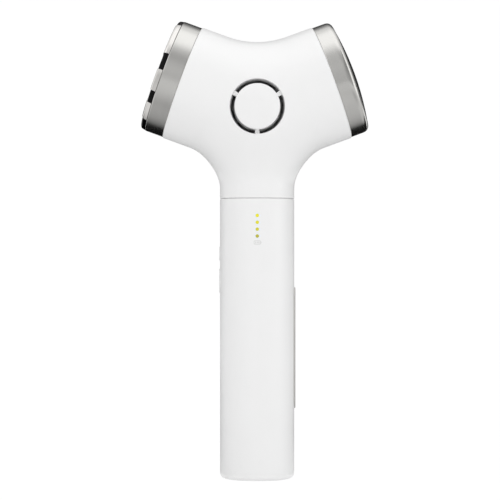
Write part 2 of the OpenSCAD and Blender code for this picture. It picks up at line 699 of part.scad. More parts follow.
module side_button(z, l) {
    intersection() {
        section_block(-button_proud, z - l, z + l);
        side_stadium(z, l, button_w, -handle_w, flange_x + 0.3);
    }
    side_stadium(z, l + 1.6, button_w + 1.6, flange_x, flange_x + flange_t);
}

module power_button() color(white) side_button(power_z, power_l);
module mode_button() color(white) side_button(mode_z, mode_l);

module plunger(z) translate([0, 0, z]) rod_x(1, flange_x + flange_t, switch_x + plunge);

module power_plunger() color("ivory") plunger(power_z);
module mode_plunger() color("ivory") plunger(mode_z);

module button_switches() color([0.15, 0.15, 0.16]) for (z = [power_z, mode_z]) difference() {
    translate([switch_x, -2.25, z - 2.25]) cube([1.5, 4.5, 4.5]);
    translate([0, 0, z]) rod_x(1.05, switch_x - 1, switch_x + plunge + button_travel + 0.05);
}

module button_board() color(green)
    translate([switch_x + 1.5, -4, 69]) cube([1, 8, 26]);

module hand_electrode() color([0.80, 0.79, 0.77]) {
    intersection() {
        section_block(-0.45, strip_z - 1, strip_z + strip_l + 1);
        side_stadium(strip_z + strip_l / 2, strip_l, strip_w, handle_w / 2 - 0.9, handle_w);
    }
    for (k = [0.15, 0.85])
        translate([0, 0, strip_z + k * strip_l]) rod_x(1.2, handle_w / 2 - wall - 0.6, handle_w / 2 - 0.8);
}

// ---------------------------------------------------------------- output

handle_sleeve();
head_front_shell();
head_rear_shell();
neck_sleeve();
front_vent_disc();
rear_vent_disc();
hot_ring();
hot_face();
hot_electrodes();
hot_plate();
hot_heater();
hot_board();
hot_screws();
hot_seal();
cool_ring();
cool_plate();
cool_seal();
thermal_pad();
peltier_module();
heat_sink();
sink_screws();
fan_frame();
fan_rotor();
fan_screws();
motor_can();
motor_weight();
chassis();
main_board();
board_parts();
board_screws();
charge_port();
battery_cell();
battery_strap();
indicator_lens();
indicator_leds();
power_button();
mode_button();
power_plunger();
mode_plunger();
button_board();
button_switches();
hand_electrode();
inner_leads();
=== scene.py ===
"""Facial toning device: smooth outer surfaces, finishes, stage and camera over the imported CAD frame.

Lengths are metres in the frame's own axes: +Z up the handle, the front faces -Y, and the origin is
the middle of the handle's flat bottom.
"""

import math

import bmesh
import bpy
import numpy as np
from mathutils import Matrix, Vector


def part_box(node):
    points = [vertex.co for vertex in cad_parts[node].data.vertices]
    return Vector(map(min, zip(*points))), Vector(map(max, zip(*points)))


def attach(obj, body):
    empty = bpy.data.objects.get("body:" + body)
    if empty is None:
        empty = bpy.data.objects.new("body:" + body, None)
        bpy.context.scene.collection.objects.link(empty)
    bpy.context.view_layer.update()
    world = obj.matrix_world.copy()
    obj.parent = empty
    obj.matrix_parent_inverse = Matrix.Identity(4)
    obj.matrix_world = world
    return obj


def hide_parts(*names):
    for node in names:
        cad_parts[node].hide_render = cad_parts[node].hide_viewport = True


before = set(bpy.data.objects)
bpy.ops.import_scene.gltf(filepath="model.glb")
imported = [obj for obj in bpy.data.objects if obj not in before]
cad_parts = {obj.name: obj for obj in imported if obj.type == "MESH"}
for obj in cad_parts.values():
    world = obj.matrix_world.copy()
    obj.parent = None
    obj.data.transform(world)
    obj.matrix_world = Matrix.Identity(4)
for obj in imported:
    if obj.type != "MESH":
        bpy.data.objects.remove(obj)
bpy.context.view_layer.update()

bl_info = {
    "name": "Facial toning device",
    "version": (1, 0, 0),
    "blender": (4, 5, 0),
    "location": "3D View > Sidebar > Toning device",
    "description": "Builds the outer surfaces, the finishes and the stage of a facial toning device",
    "category": "Add Mesh",
}

MM = 0.001
BODY = "handpiece"
AROUND = 192                  # points round the handle's section
HALF_SEAM = 0.05 * MM         # half the gap between the handle and the head
SLOT_DRAFT = 0.45 * MM        # how much either wall of the vent's slot leans in over its depth
SLOT_END = -16.8 * MM         # y at which the slot's outer wall ends
DISC_BACK = -17 * MM          # y of the back of the vent's disc and bridges
PLATE_SEAT = 3.2              # millimetres that a face plate reaches into its collar
STRIP_POCKET = 0.9 * MM       # depth of the hand electrode's pocket
MERGE_DISTANCE = 0.0005 * MM  # points closer than this are one
FEWEST_FACES = 100            # a cut that leaves fewer has failed


def linear(code):
    """Linear RGBA of an sRGB hex colour."""
    parts = [int(code[k:k + 2], 16) / 255 for k in (1, 3, 5)]
    return [c / 12.92 if c <= 0.04045 else ((c + 0.055) / 1.055) ** 2.4 for c in parts] + [1.0]


def middle(node):
    """Middle of a CAD node's box."""
    low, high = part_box(node)
    return (low + high) / 2


def span(node):
    """Lengths of the three sides of a CAD node's box."""
    low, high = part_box(node)
    return high - low


# ------------------------------------------------------------------ settings

def length(name, description, default):
    """A length property, in metres."""
    return bpy.props.FloatProperty(name=name, description=description, default=default, min=0.0,
                                   precision=5, unit="LENGTH")


def degrees(name, description, default):
    """An angle property, with its default in degrees."""
    return bpy.props.FloatProperty(name=name, description=description, default=math.radians(default),
                                   subtype="ANGLE", unit="ROTATION")


def colour(name, description, code):
    """A colour property whose default is an sRGB hex value."""
    return bpy.props.FloatVectorProperty(name=name, description=description, subtype="COLOR", size=4,
                                         min=0.0, max=1.0, default=linear(code))


class BodyForm(bpy.types.PropertyGroup):
    """Driving sizes of the handle and of the head that grows out of it."""
    centre_height: length("Crossing height", "Height at which both arm axes and the handle axis meet", 0.1444)
    arm_radius: length("Arm radius", "Radius of each arm", 0.023)
    arm_tilt: degrees("Arm tilt", "Angle of each arm above the horizontal", 20.2)
    arm_reach: length("Arm reach", "Distance along an arm from the crossing to its collar", 0.0311)
    saddle_radius: length("Saddle radius", "Radius of the saddle between the arms", 0.0335)
    melt: length("Melt", "How far the handle's form melts into the arms", 0.0275)
    crown_height: length("Crown height", "Height above the crossing at which the handle's form ends", 0.0125)
    head_wall: length("Head wall", "Wall thickness of the two head shells", 0.0018)
    handle_width: length("Handle width", "Width of the handle, left to right", span("handle_sleeve").x)
    handle_depth: length("Handle depth", "Depth of the handle, front to back", span("handle_sleeve").y)
    squareness: bpy.props.FloatProperty(name="Squareness", default=2.5, min=2.0, max=6.0,
                                        description="Power of the handle's section, 2 being an ellipse")
    seam_height: length("Seam height", "Height of the seam between handle and head", 0.1095)
    handle_wall: length("Handle wall", "Wall thickness of the handle", 0.0016)
    foot_radius: length("Foot radius", "Rounding of the handle's bottom edge", 0.0018)


class FaceForm(bpy.types.PropertyGroup):
    """Sizes of the collars and of both treatment faces."""
    collar_width: length("Collar width", "Width of each metal collar along its arm", 0.0075)
    collar_radius: length("Collar radius", "Radius of each metal collar", 0.0227)
    hot_edge: length("Hot collar edge", "Rounding of the hot collar's front edge", 0.0003)
    cool_edge: length("Cool collar edge", "Rounding of the cool collar, which its seat cuts off", 0.0022)
    plate_radius: length("Plate radius", "Radius of the electrode face outside its collar", 0.0226)
    seat_radius: length("Seat radius", "Radius of the face plates inside their collars", 0.0212)
    face_proud: length("Face proud", "How far the electrode face stands out of its collar", 0.002)
    rim_radius: length("Rim radius", "Rounding of the electrode face's rim", 0.001)
    rim_taper: length("Rim taper", "How much narrower the electrode face is at its front", 0.00045)
    pad_proud: length("Pad proud", "How far the electrode segments stand out of the face", 0.00025)
    pad_inner: length("Pad inner radius", "Inner radius of the electrode segments", 0.0158)
    warm_radius: length("Warm plate radius", "Radius of the heated plate in the middle of the face", 0.01095)
    dome_rise: length("Dome rise", "Rise of the cooling plate's dome", 0.0021)


class DetailForm(bpy.types.PropertyGroup):
    """Sizes of the vent, the buttons, the lights and the hand electrode."""
    vent_radius: length("Vent radius", "Outer radius of the ring-shaped slot", 0.01055)
    disc_radius: length("Disc radius", "Radius of the disc inside the slot", 0.00874)
    bridge_angle: degrees("Bridge angle", "Angle that each bridge covers", 10)
    bridge_depth: length("Bridge depth", "How far the bridges lie under the body's surface", 0.0015)
    button_width: length("Button width", "Width of both side buttons", 0.0046)
    power_length: length("Upper button length", "Length of the upper side button", 0.0054)
    mode_length: length("Lower button length", "Length of the lower side button", 0.0094)
    button_proud: length("Button proud", "How far the side buttons stand out", 0.0003)
    light_radius: length("Light radius", "Radius of one charge light", 0.000675)
    light_height: length("Light height", "Height of the lowest charge light", 0.0948)
    light_pitch: length("Light pitch", "Distance between the charge lights", 0.00265)
    strip_width: length("Strip width", "Width of the hand electrode", 0.007)
    strip_proud: length("Strip proud", "How far the hand electrode stands out", 0.00045)


class Finishes(bpy.types.PropertyGroup):
    """Colours of the outer finishes."""
    shell: colour("Shell", "Moulded housing", "#EDEDED")
    collar: colour("Collar", "Satin turned collars", "#D4D3D0")
    black: colour("Black", "Gloss electrode face", "#030304")
    chrome: colour("Chrome", "Plated electrode segments", "#DCDAD7")
    mirror: colour("Mirror", "Mirror-polished cooling plate", "#DDDCDD")
    strip: colour("Strip", "Satin hand electrode", "#DFDEDB")
    print_grey: colour("Print", "Pad-printed battery sign", "#D8D8D7")


# ------------------------------------------------------------------ the body's form

def arch_radius(form):
    """Radius of the arms' curved centre line: saddle radius plus arm radius."""
    return form.saddle_radius + form.arm_radius


def arch_rise(form, x, z):
    """Signed distance of (x, z) above the arms' centre line, which is an arc round a point high above
    the crossing and runs on straight, at the arms' tilt, past the arc's ends."""
    out, rise = np.abs(x), z - form.centre_height
    drop = arch_radius(form) / math.cos(form.arm_tilt) - rise
    on_arc = np.arctan2(out, drop) < form.arm_tilt
    straight = rise * math.cos(form.arm_tilt) - out * math.sin(form.arm_tilt)
    return np.where(on_arc, arch_radius(form) - np.hypot(out, drop), straight)


def half_depth(form, x, z, inset):
    """Half depth of the head at (x, z), inset under its surface: the root of a smooth maximum of two
    squared depths, the arch's (radius squared less rise squared) and the handle's (a superellipse
    that dies away above the crossing)."""
    arch = (form.arm_radius - inset) ** 2 - arch_rise(form, x, z) ** 2
    fade = (np.maximum(z - form.centre_height, 0) / form.crown_height) ** 2
    side = (np.abs(x) / (form.handle_width / 2 - inset)) ** form.squareness
    post = (form.handle_depth / 2 - inset) ** 2 * (1 - side - fade)
    near = np.maximum(form.melt ** 2 - np.abs(arch - post), 0)
    return np.sqrt(np.maximum(np.maximum(arch, post) + near ** 2 / (4 * form.melt ** 2), 0))


def half_width(form, z, inset):
    """Half width of the head at height z: where its half depth ends, by halving an interval."""
    outside, halvings = 45 * MM, 40
    low, high = np.zeros_like(z), np.full_like(z, outside)
    for _ in range(halvings):
        centre = (low + high) / 2
        inside = half_depth(form, centre, z, inset) > 0
        low, high = np.where(inside, centre, low), np.where(inside, high, centre)
    return low


def saddle_height(form, x, inset):
    """Height of the saddle at x: the arc round the arch's centre, then the straight upper arm edge."""
    radius, tilt = form.saddle_radius + inset, form.arm_tilt
    centre = form.centre_height + arch_radius(form) / math.cos(tilt)
    arc = centre - np.sqrt(np.maximum(radius ** 2 - x ** 2, 0))
    line = form.centre_height + (form.arm_radius - inset + np.abs(x) * math.sin(tilt)) / math.cos(tilt)
    return np.where(np.abs(x) < radius * math.sin(tilt), arc, line)


def shell_rim(form, inset, back):
    """Closed rim of one head shell, (n, 3): seam, flank, collar seat and saddle of the right half,
    then the same mirrored. The seam and the seats are drawn back by the given length, and the
    flank's points lie closer together towards the seat."""
    few, many, crowding = 49, 97, 1.4
    tilt, radius, reach = form.arm_tilt, form.arm_radius - inset, form.arm_reach - back
    seam = form.seam_height + HALF_SEAM + back
    low = np.array((reach * math.cos(tilt) + radius * math.sin(tilt),
                    form.centre_height + reach * math.sin(tilt) - radius * math.cos(tilt)))
    top_x = reach * math.cos(tilt) - radius * math.sin(tilt)
    x = half_width(form, np.full(few, seam), inset) * np.sin(np.linspace(0, 1, few) * math.pi / 2)
    seam_part = np.stack((x, np.full(few, seam)), 1)
    z = low[1] + (seam - low[1]) * np.linspace(1, 0, many)[1:] ** crowding
    x = half_width(form, z, inset)
    x[-1] = low[0]
    flank_part = np.stack((x, z), 1)
    d = radius * np.sin((np.linspace(0, 1, many)[1:] * 2 - 1) * math.pi / 2)
    seat_part = np.stack((reach * math.cos(tilt) - d * math.sin(tilt),
                          form.centre_height + reach * math.sin(tilt) + d * math.cos(tilt)), 1)
    x = top_x * np.linspace(1, 0, few)[1:]
    saddle_part = np.stack((x, saddle_height(form, x, inset)), 1)
    half = np.concatenate((seam_part, flank_part, seat_part, saddle_part))
    # 1 on the flank and the saddle, where the two shells meet at depth 0
    joint = np.concatenate((np.zeros(few - 1), np.ones(many), np.zeros(many - 2), np.ones(few)))
    y = -half_depth(form, half[:, 0], half[:, 1], inset) * (1 - joint)
    half = np.stack((half[:, 0], y, half[:, 1]), 1)
    other = half[-2:0:-1] * (-1, 1, 1)
    return np.concatenate((half, other))


def shell_rows(form, detail):
    """Closed section of one head shell carried once round the vent, (rows, n, 3). From the rim the
    section runs over the skin to the vent, round its edge, back through the slot's wall and its
    boss, over the lining to the rim, and round the rim's own edge. A point between vent and rim
    lies on the straight line from the vent's middle to the rim, at the body's half depth."""
    lip, edge = 0.3 * MM, 0.3 * MM
    vent, boss = detail.vent_radius, detail.vent_radius + 1.3 * MM
    skin_steps, edge_steps, lining_steps = 52, 5, 18

    def ray(rim, ring_radius, share, inset):
        """Row between a ring round the vent (share 0) and a rim (share 1)."""
        away = rim[:, (0, 2)] - (0, form.centre_height)
        far = np.linalg.norm(away, axis=1)
        r = ring_radius + (far - ring_radius) * share
        x = away[:, 0] / far * r
        z = form.centre_height + away[:, 1] / far * r
        y = -half_depth(form, x, z, inset) if share < 1 else rim[:, 1]
        return np.stack((x, y, z), 1)

    start, inner = shell_rim(form, 0, lip), shell_rim(form, form.head_wall, 0)
    shares = [math.sin(math.pi / 2 * k / skin_steps) for k in range(skin_steps, -1, -1)]
    rows = [ray(start, vent + edge, share, 0) for share in shares]
    turns = [math.pi / 2 * k / edge_steps for k in range(1, edge_steps + 1)]
    rows += [ray(start, vent + edge * (1 - math.sin(a)), 0, edge * (1 - math.cos(a))) for a in turns]
    mouth = rows[-1][:, 1]
    for share in (0.05, 0.5, 1):
        row = ray(start, vent - SLOT_DRAFT * share, 0, 0)
        row[:, 1] = mouth + (SLOT_END - mouth) * share
        rows.append(row)
    row = ray(start, boss, 0, 0)
    row[:, 1] = SLOT_END
    rows.append(row)
    shares = [math.sin(math.pi / 2 * k / lining_steps) for k in range(lining_steps + 1)]
    rows += [ray(inner, boss, share, form.head_wall) for share in shares]
    rows += [shell_rim(form, lip * (1 - math.cos(a)), lip * (1 - math.sin(a))) for a in turns[::-1]]
    return np.stack(rows)


def section(form, inset):
    """The handle's section, (AROUND, 2): x follows a sine, y the superellipse's half depth."""
    turn = np.arange(AROUND) / AROUND * 2 * math.pi - math.pi / 2
    s = np.sin(turn)
    y = np.sqrt(np.maximum(1 - np.abs(s) ** form.squareness, 0)) * np.where(np.cos(turn) > 0, -1, 1)
    return np.stack(((form.handle_width / 2 - inset) * s, (form.handle_depth / 2 - inset) * y), 1)


def side_x(form, y, inset=0.0):
    """Half width of the handle at depth y: the superellipse solved for x."""
    share = np.clip(np.abs(y) / (form.handle_depth / 2 - inset), 0, 1)
    return (form.handle_width / 2 - inset) * (1 - share ** 2) ** (1 / form.squareness)


def front_y(form, x):
    """Half depth of the handle at x: the superellipse solved for y."""
    share = np.clip(np.abs(x) / (form.handle_width / 2), 0, 1)
    return form.handle_depth / 2 * np.sqrt(1 - share ** form.squareness)


def button_lengths(detail):
    """Length of each side button, by its CAD node."""
    return {"power_button": detail.power_length, "mode_button": detail.mode_length}


# ------------------------------------------------------------------ profiles and meshes

def rounded(corners, closed=True, steps=6):
    """Profile through corners (x, y, radius) given in millimetres, in metres: each corner becomes the
    arc of that radius that touches both of its sides, with one more point just outside either end."""
    out, count = [], len(corners)
    for k, (x, y, radius) in enumerate(corners):
        here = np.array((x, y))
        if radius == 0 or (not closed and k in (0, count - 1)):
            out.append(here)
            continue
        a, b = (np.array(corners[(k + step) % count][:2]) - here for step in (-1, 1))
        a, b = a / np.linalg.norm(a), b / np.linalg.norm(b)
        half = math.acos(np.clip(a @ b, -1, 1)) / 2
        centre = here + (a + b) / np.linalg.norm(a + b) * radius / math.sin(half)
        start, end = here + a * radius / math.tan(half), here + b * radius / math.tan(half)
        u, v = (start - centre) / radius, (end - centre) / radius
        total = math.acos(np.clip(u @ v, -1, 1))
        w = np.linspace(0, 1, steps + 1)[:, None] * total
        arc = centre + radius * (np.sin(total - w) * u + np.sin(w) * v) / math.sin(total)
        beyond = min(radius * 0.3, 0.04)
        out.extend([start + a * beyond, *arc, end + b * beyond])
    return np.array(out) * MM


def turned(form, profile, side, start=0.0, end=360.0, steps=216):
    """A profile (radius, height) in metres turned round an arm's axis, (profile, steps, 3): local x
    and y are radius times cosine and sine, and the axis leans out by the arm's tilt."""
    whole = end - start >= 360
    angle = np.radians(np.linspace(start, end, steps, endpoint=not whole))
    x, y = profile[:, :1] * np.cos(angle), profile[:, :1] * np.sin(angle)
    h = np.repeat(profile[:, 1:], len(angle), 1)
    lean = math.pi / 2 - form.arm_tilt
    return np.stack((math.cos(lean) * x + side * math.sin(lean) * h, y,
                     form.centre_height + math.cos(lean) * h - side * math.sin(lean) * x), 2)


def dome(radius, rise, base, steps):
    """Corners (x, y, 0) of a shallow dome in millimetres, from its top nearly to its rim: a circular
    arc through the rim, at the given radius and base, and the top, which rises above it."""
    sphere = (radius ** 2 + rise ** 2) / (2 * rise)
    reach = math.asin(radius / sphere)
    turns = [reach * k / steps for k in range(steps)]
    return [(sphere * math.sin(a), base + rise - sphere + sphere * math.cos(a), 0) for a in turns]


def circle(radius):
    """Outline of a circle, (48, 2): radius times cosine and sine."""
    turn = np.radians(np.arange(48) * 7.5)
    return np.stack((radius * np.cos(turn), radius * np.sin(turn)), 1)


def pill(long, wide):
    """Outline of an upright pill, (96, 2) as depth and height: two half circles joined by straight
    sides, evenly divided in angle."""
    turn = (np.arange(96) + 0.5) / 96 * 2 * math.pi
    y = wide / 2 * np.cos(turn)
    z = wide / 2 * np.sin(turn) + np.sign(np.sin(turn)) * (long - wide) / 2
    return np.stack((y, z), 1)


def sheet_faces(rows, columns, wrap_rows, wrap_columns, caps, first):
    """Quads of a grid of points, wrapped round either way, with its end rows capped if asked."""
    index = np.arange(rows * columns).reshape(rows, columns) + first
    if wrap_rows:
        index = np.concatenate((index, index[:1]))
    if wrap_columns:
        index = np.concatenate((index, index[:, :1]), 1)
    quads = np.stack((index[:-1, :-1], index[1:, :-1], index[1:, 1:], index[:-1, 1:]), 2).reshape(-1, 4)
    faces = quads.tolist()
    if caps:
        faces += [index[0, :columns].tolist(), index[-1, columns - 1::-1].tolist()]
    return faces


def new_mesh(name, sheets):
    """Mesh of several closed sheets (points, wrap rows, wrap columns, caps), with its doubles merged
    and its faces pointing outwards."""
    points, faces, first = [], [], 0
    for grid, wrap_rows, wrap_columns, caps in sheets:
        rows, columns = grid.shape[:2]
        points.append(grid.reshape(-1, 3))
        faces += sheet_faces(rows, columns, wrap_rows, wrap_columns, caps, first)
        first += rows * columns
    mesh = bpy.data.meshes.new(name)
    mesh.from_pydata(np.concatenate(points).tolist(), [], faces)
    work = bmesh.new()
    work.from_mesh(mesh)
    bmesh.ops.remove_doubles(work, verts=work.verts, dist=MERGE_DISTANCE)
    bmesh.ops.recalc_face_normals(work, faces=work.faces)
    work.to_mesh(mesh)
    work.free()
    return mesh


def new_piece(name, sheets, material, body, slot, *nodes):
    """Object of closed sheets with a finish, riding on a body and standing for the CAD nodes."""
    piece = bpy.data.objects.new(name, new_mesh(name, sheets))
    bpy.context.scene.collection.objects.link(piece)
    piece.data.materials.append(material)
    smooth(piece.data)
    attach(piece, body)
    if nodes:
        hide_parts(*nodes)
    return piece


def smooth(mesh):
    """Smooth shading with sharp edges where two faces meet at more than 30 degrees."""
    mesh.shade_smooth()
    mesh.set_sharp_from_angle(angle=math.radians(30))


def cut(piece, sheets):
    """Cuts closed sheets out of a piece and keeps the result as its mesh."""
    tool = bpy.data.objects.new("cutting_tool", new_mesh("cutting_tool", sheets))
    bpy.context.scene.collection.objects.link(tool)
    step = piece.modifiers.new("openings", "BOOLEAN")
    step.operation, step.solver, step.object = "DIFFERENCE", "EXACT", tool
    bpy.context.view_layer.update()
    shape = piece.evaluated_get(bpy.context.evaluated_depsgraph_get())
    mesh = bpy.data.meshes.new_from_object(shape)
    piece.modifiers.remove(step)
    old, mesh.name = piece.data, piece.name
    piece.data = mesh
    bpy.data.meshes.remove(old)
    bpy.data.objects.remove(tool)
    if len(mesh.polygons) < FEWEST_FACES:
        raise RuntimeError("the openings of " + piece.name + " could not be cut")
    smooth(mesh)


# ------------------------------------------------------------------ materials

def add(tree, kind, inputs=None, **settings):
    """Adds one node: settings are its own properties, and inputs holds socket values or links."""
    node = tree.nodes.new(kind)
    for key, value in settings.items():
        setattr(node, key, value)
    for socket, value in (inputs or {}).items():
        if isinstance(value, bpy.types.NodeSocket):
            tree.links.new(value, node.inputs[socket])
        else:
            node.inputs[socket].default_value = value
    return node


def begin(name, **sockets):
    """New material with one Principled shader whose uniform values are set on its own sockets."""
    material = bpy.data.materials.new(name)
    material.use_nodes = True
    tree = material.node_tree
    shader = tree.nodes["Principled BSDF"]
    for socket, value in sockets.items():
        shader.inputs[socket.replace("_", " ")].default_value = value
    return material, tree, shader


def patterned(name, **sockets):
    """New material as `begin` makes it, with the object's own coordinates for its patterns."""
    material, tree, shader = begin(name, **sockets)
    return material, tree, shader, add(tree, "ShaderNodeTexCoord").outputs["Object"]


def shade(code, factor):
    """A colour made lighter or darker by a factor."""
    base = linear(code) if isinstance(code, str) else list(code)
    return [min(c * factor, 1.0) for c in base[:3]] + [1.0]


def blotches(tree, shader, coords, size, low, high):
    """Base colour that wanders between two colours in soft patches of the given size; gives the
    noise and the colour's socket."""
    noise = add(tree, "ShaderNodeTexNoise", {"Vector": coords, "Scale": 1 / size, "Detail": 3.0})
    mix = add(tree, "ShaderNodeMix", {"Factor": noise.outputs["Fac"], "A": low, "B": high}, data_type="RGBA")
    tree.links.new(mix.outputs["Result"], shader.inputs["Base Color"])
    return noise, mix.outputs["Result"]


def relief(tree, shader, coords, size, height, strength=0.5):
    """Fine bumps of the given grain size and height in the shader's normal; gives their noise."""
    noise = add(tree, "ShaderNodeTexNoise", {"Vector": coords, "Scale": 1 / size, "Detail": 2.0})
    bump = add(tree, "ShaderNodeBump", {
        "Height": noise.outputs["Fac"], "Distance": height, "Strength": strength})
    tree.links.new(bump.outputs["Normal"], shader.inputs["Normal"])
    return noise


def haze(tree, shader, noise, roughness, swing):
    """Roughness that follows a noise, by a share of itself either way."""
    rough = add(tree, "ShaderNodeMapRange", {
        "Value": noise.outputs["Fac"], "From Min": 0.3, "From Max": 0.7,
        "To Min": roughness * (1 - swing), "To Max": roughness * (1 + swing)})
    tree.links.new(rough.outputs["Result"], shader.inputs["Roughness"])


def shell_joint(tree, coords, base, under):
    """Fine dark line over a colour at depth 0, where the two head shells meet; gives the colour's
    socket."""
    split = add(tree, "ShaderNodeSeparateXYZ", {"Vector": coords})
    off = add(tree, "ShaderNodeMath", {0: split.outputs["Y"]}, operation="ABSOLUTE")
    line = add(tree, "ShaderNodeMapRange", {
        "Value": off.outputs[0], "From Min": 0.02 * MM, "From Max": 0.07 * MM, "To Min": 1.0, "To Max": 0.0})
    dark = add(tree, "ShaderNodeMix", {
        "Factor": line.outputs["Result"], "A": under, "B": shade(base, 0.6)}, data_type="RGBA")
    return dark.outputs["Result"]


def light_glow(tree, coords, low, pitch, under):
    """Pale glow over a colour, which each charge light throws into the front wall round it; gives the
    colour's socket. Folding the height twice brings the four lights to one place."""
    split = add(tree, "ShaderNodeSeparateXYZ", {"Vector": coords})
    height = split.outputs["Z"]
    for centre in (low + 1.5 * pitch, pitch):
        off = add(tree, "ShaderNodeMath", {0: height, 1: centre}, operation="SUBTRACT")
        height = add(tree, "ShaderNodeMath", {0: off.outputs[0]}, operation="ABSOLUTE").outputs[0]
    part = add(tree, "ShaderNodeMath", {0: height, 1: pitch / 2}, operation="SUBTRACT")
    spot = add(tree, "ShaderNodeCombineXYZ", {"X": split.outputs["X"], "Z": part.outputs[0]})
    reach = add(tree, "ShaderNodeVectorMath", {0: spot.outputs["Vector"]}, operation="LENGTH")
    glow = add(tree, "ShaderNodeMapRange", {
        "Value": reach.outputs["Value"], "From Min": 0.7 * MM, "From Max": 1.6 * MM,
        "To Min": 0.75, "To Max": 0.0})
    front = add(tree, "ShaderNodeMath", {0: split.outputs["Y"], 1: -10 * MM}, operation="LESS_THAN")
    fade = add(tree, "ShaderNodeMath", {0: glow.outputs["Result"], 1: front.outputs[0]}, operation="MULTIPLY")
    halo = add(tree, "ShaderNodeMix", {
        "Factor": fade.outputs[0], "A": under, "B": linear("#E6EDF2")}, data_type="RGBA")
    return halo.outputs["Result"]


def moulded_abs(name, base, lights=None, joint=False):
    """White ABS, injection moulded in a fine spark-eroded tool: satin, with faint waviness from the
    mould and a soft, wide highlight. The grain is 0.1 mm in truth and is drawn at 0.25 mm so that
    it shows."""
    material, tree, shader, coords = patterned(name, Roughness=0.36, IOR=1.54)
    _, tone = blotches(tree, shader, coords, 14 * MM, shade(base, 0.985), shade(base, 1.015))
    if joint:
        tone = shell_joint(tree, coords, base, tone)
    if lights:
        tone = light_glow(tree, coords, *lights, tone)
    tree.links.new(tone, shader.inputs["Base Color"])
    wave = add(tree, "ShaderNodeTexNoise", {"Vector": coords, "Scale": 1 / (6 * MM), "Detail": 1.0})
    swell = add(tree, "ShaderNodeBump", {
        "Height": wave.outputs["Fac"], "Distance": 0.01 * MM, "Strength": 0.5})
    grain = add(tree, "ShaderNodeTexNoise", {"Vector": coords, "Scale": 1 / (0.25 * MM), "Detail": 2.0})
    bump = add(tree, "ShaderNodeBump", {
        "Height": grain.outputs["Fac"], "Distance": 0.004 * MM, "Strength": 0.4,
        "Normal": swell.outputs["Normal"]})
    tree.links.new(bump.outputs["Normal"], shader.inputs["Normal"])
    return material


def turned_metal(name, base, form, side):
    """Aluminium collar, turned on a lathe and satin anodised: fine rings round the arm's axis, which
    spread the highlight along the axis. The rings are 0.05 mm apart in truth and are drawn at
    0.12 mm so that they show."""
    material, tree, shader, coords = patterned(name, Metallic=1.0)
    lean = side * (math.pi / 2 - form.arm_tilt)
    along = add(tree, "ShaderNodeMapping", {
        "Vector": coords, "Location": (0, 0, form.centre_height), "Rotation": (0, lean, 0),
        "Scale": (30 * MM, 30 * MM, 0.12 * MM)}, vector_type="TEXTURE").outputs["Vector"]
    rings, _ = blotches(tree, shader, along, 1, shade(base, 0.975), shade(base, 1.02))
    haze(tree, shader, rings, roughness=0.2, swing=0.15)
    bump = add(tree, "ShaderNodeBump", {
        "Height": rings.outputs["Fac"], "Distance": 0.001 * MM, "Strength": 0.3})
    tree.links.new(bump.outputs["Normal"], shader.inputs["Normal"])
    return material


def polished_metal(name, base, roughness, grain=1.5):
    """Plated metal, polished: a clear mirror with hardly any haze, and a waviness of 1.5 mm left by
    the wheel. A finer grain in millimetres and more roughness make it satin."""
    material, tree, shader, coords = patterned(name, Metallic=1.0)
    blotches(tree, shader, coords, 5 * MM, shade(base, 0.97), shade(base, 1.02))
    wear = relief(tree, shader, coords, grain * MM, 0.002 * MM, strength=0.3)
    haze(tree, shader, wear, roughness, swing=0.2)
    return material


def gloss_black(name, base):
    """Black polycarbonate, moulded in a polished tool: deep black with a clear, sharp reflection and
    a trace of orange peel."""
    material, tree, shader, coords = patterned(name, Roughness=0.08, IOR=1.58, Specular_IOR_Level=0.1)
    blotches(tree, shader, coords, 8 * MM, shade(base, 0.9), shade(base, 1.15))
    relief(tree, shader, coords, 1.2 * MM, 0.003 * MM, strength=0.3)
    return material


def pad_print(name, base):
    """Ink, pad printed in one thin grey layer: matt, a little uneven where it was pressed on."""
    material, tree, shader, coords = patterned(name, Roughness=0.55, IOR=1.5)
    blotches(tree, shader, coords, 0.3 * MM, shade(base, 0.95), shade(base, 1.05))
    relief(tree, shader, coords, 0.15 * MM, 0.002 * MM)
    return material


def light_pipe(name, low, pitch):
    """Amber-lit acrylic light pipes, moulded with a frosted end: the light behind fills them, bright
    yellow in the highest of the four and duller towards the lowest."""
    material, tree, shader, coords = patterned(name, Roughness=0.35, IOR=1.49, Emission_Strength=0.3)
    split = add(tree, "ShaderNodeSeparateXYZ", {"Vector": coords})
    height = add(tree, "ShaderNodeMapRange", {
        "Value": split.outputs["Z"], "From Min": low, "From Max": low + 3 * pitch})
    lift = add(tree, "ShaderNodeMath", {0: height.outputs["Result"], 1: 0.6}, operation="POWER")
    tone = add(tree, "ShaderNodeMix", {
        "Factor": lift.outputs[0], "A": linear("#A29C30"), "B": linear("#CEC814")}, data_type="RGBA")
    tree.links.new(tone.outputs["Result"], shader.inputs["Base Color"])
    tree.links.new(tone.outputs["Result"], shader.inputs["Emission Color"])
    relief(tree, shader, coords, 0.2 * MM, 0.01 * MM)
    return material


def plain_part(name, code, grain, height, spread, **sockets):
    """A part's own colour in soft patches, with the grain of its surface."""
    material, tree, shader, coords = patterned(name, **sockets)
    blotches(tree, shader, coords, grain * 8, shade(code, 1 - spread), shade(code, 1 + spread))
    relief(tree, shader, coords, grain, height)
    return material


# ------------------------------------------------------------------ operators

class TONER_OT_housing(bpy.types.Operator):
    """Front and rear shells of the head"""
    bl_idname = "toner.housing"
    bl_label = "Head shells"

    def execute(self, context):
        form, detail = context.scene.toner_body, context.scene.toner_detail
        shell = moulded_abs("abs_moulded_white_head", context.scene.toner_finish.shell, joint=True)
        rows = shell_rows(form, detail)
        # the rear shell is the front one with its depth turned round
        for side, node in ((1, "head_front_shell"), (-1, "head_rear_shell")):
            new_piece("skin_" + node, [(rows * (1, side, 1), True, True, False)], shell, BODY,
                      "white_shell", node)
        return {"FINISHED"}


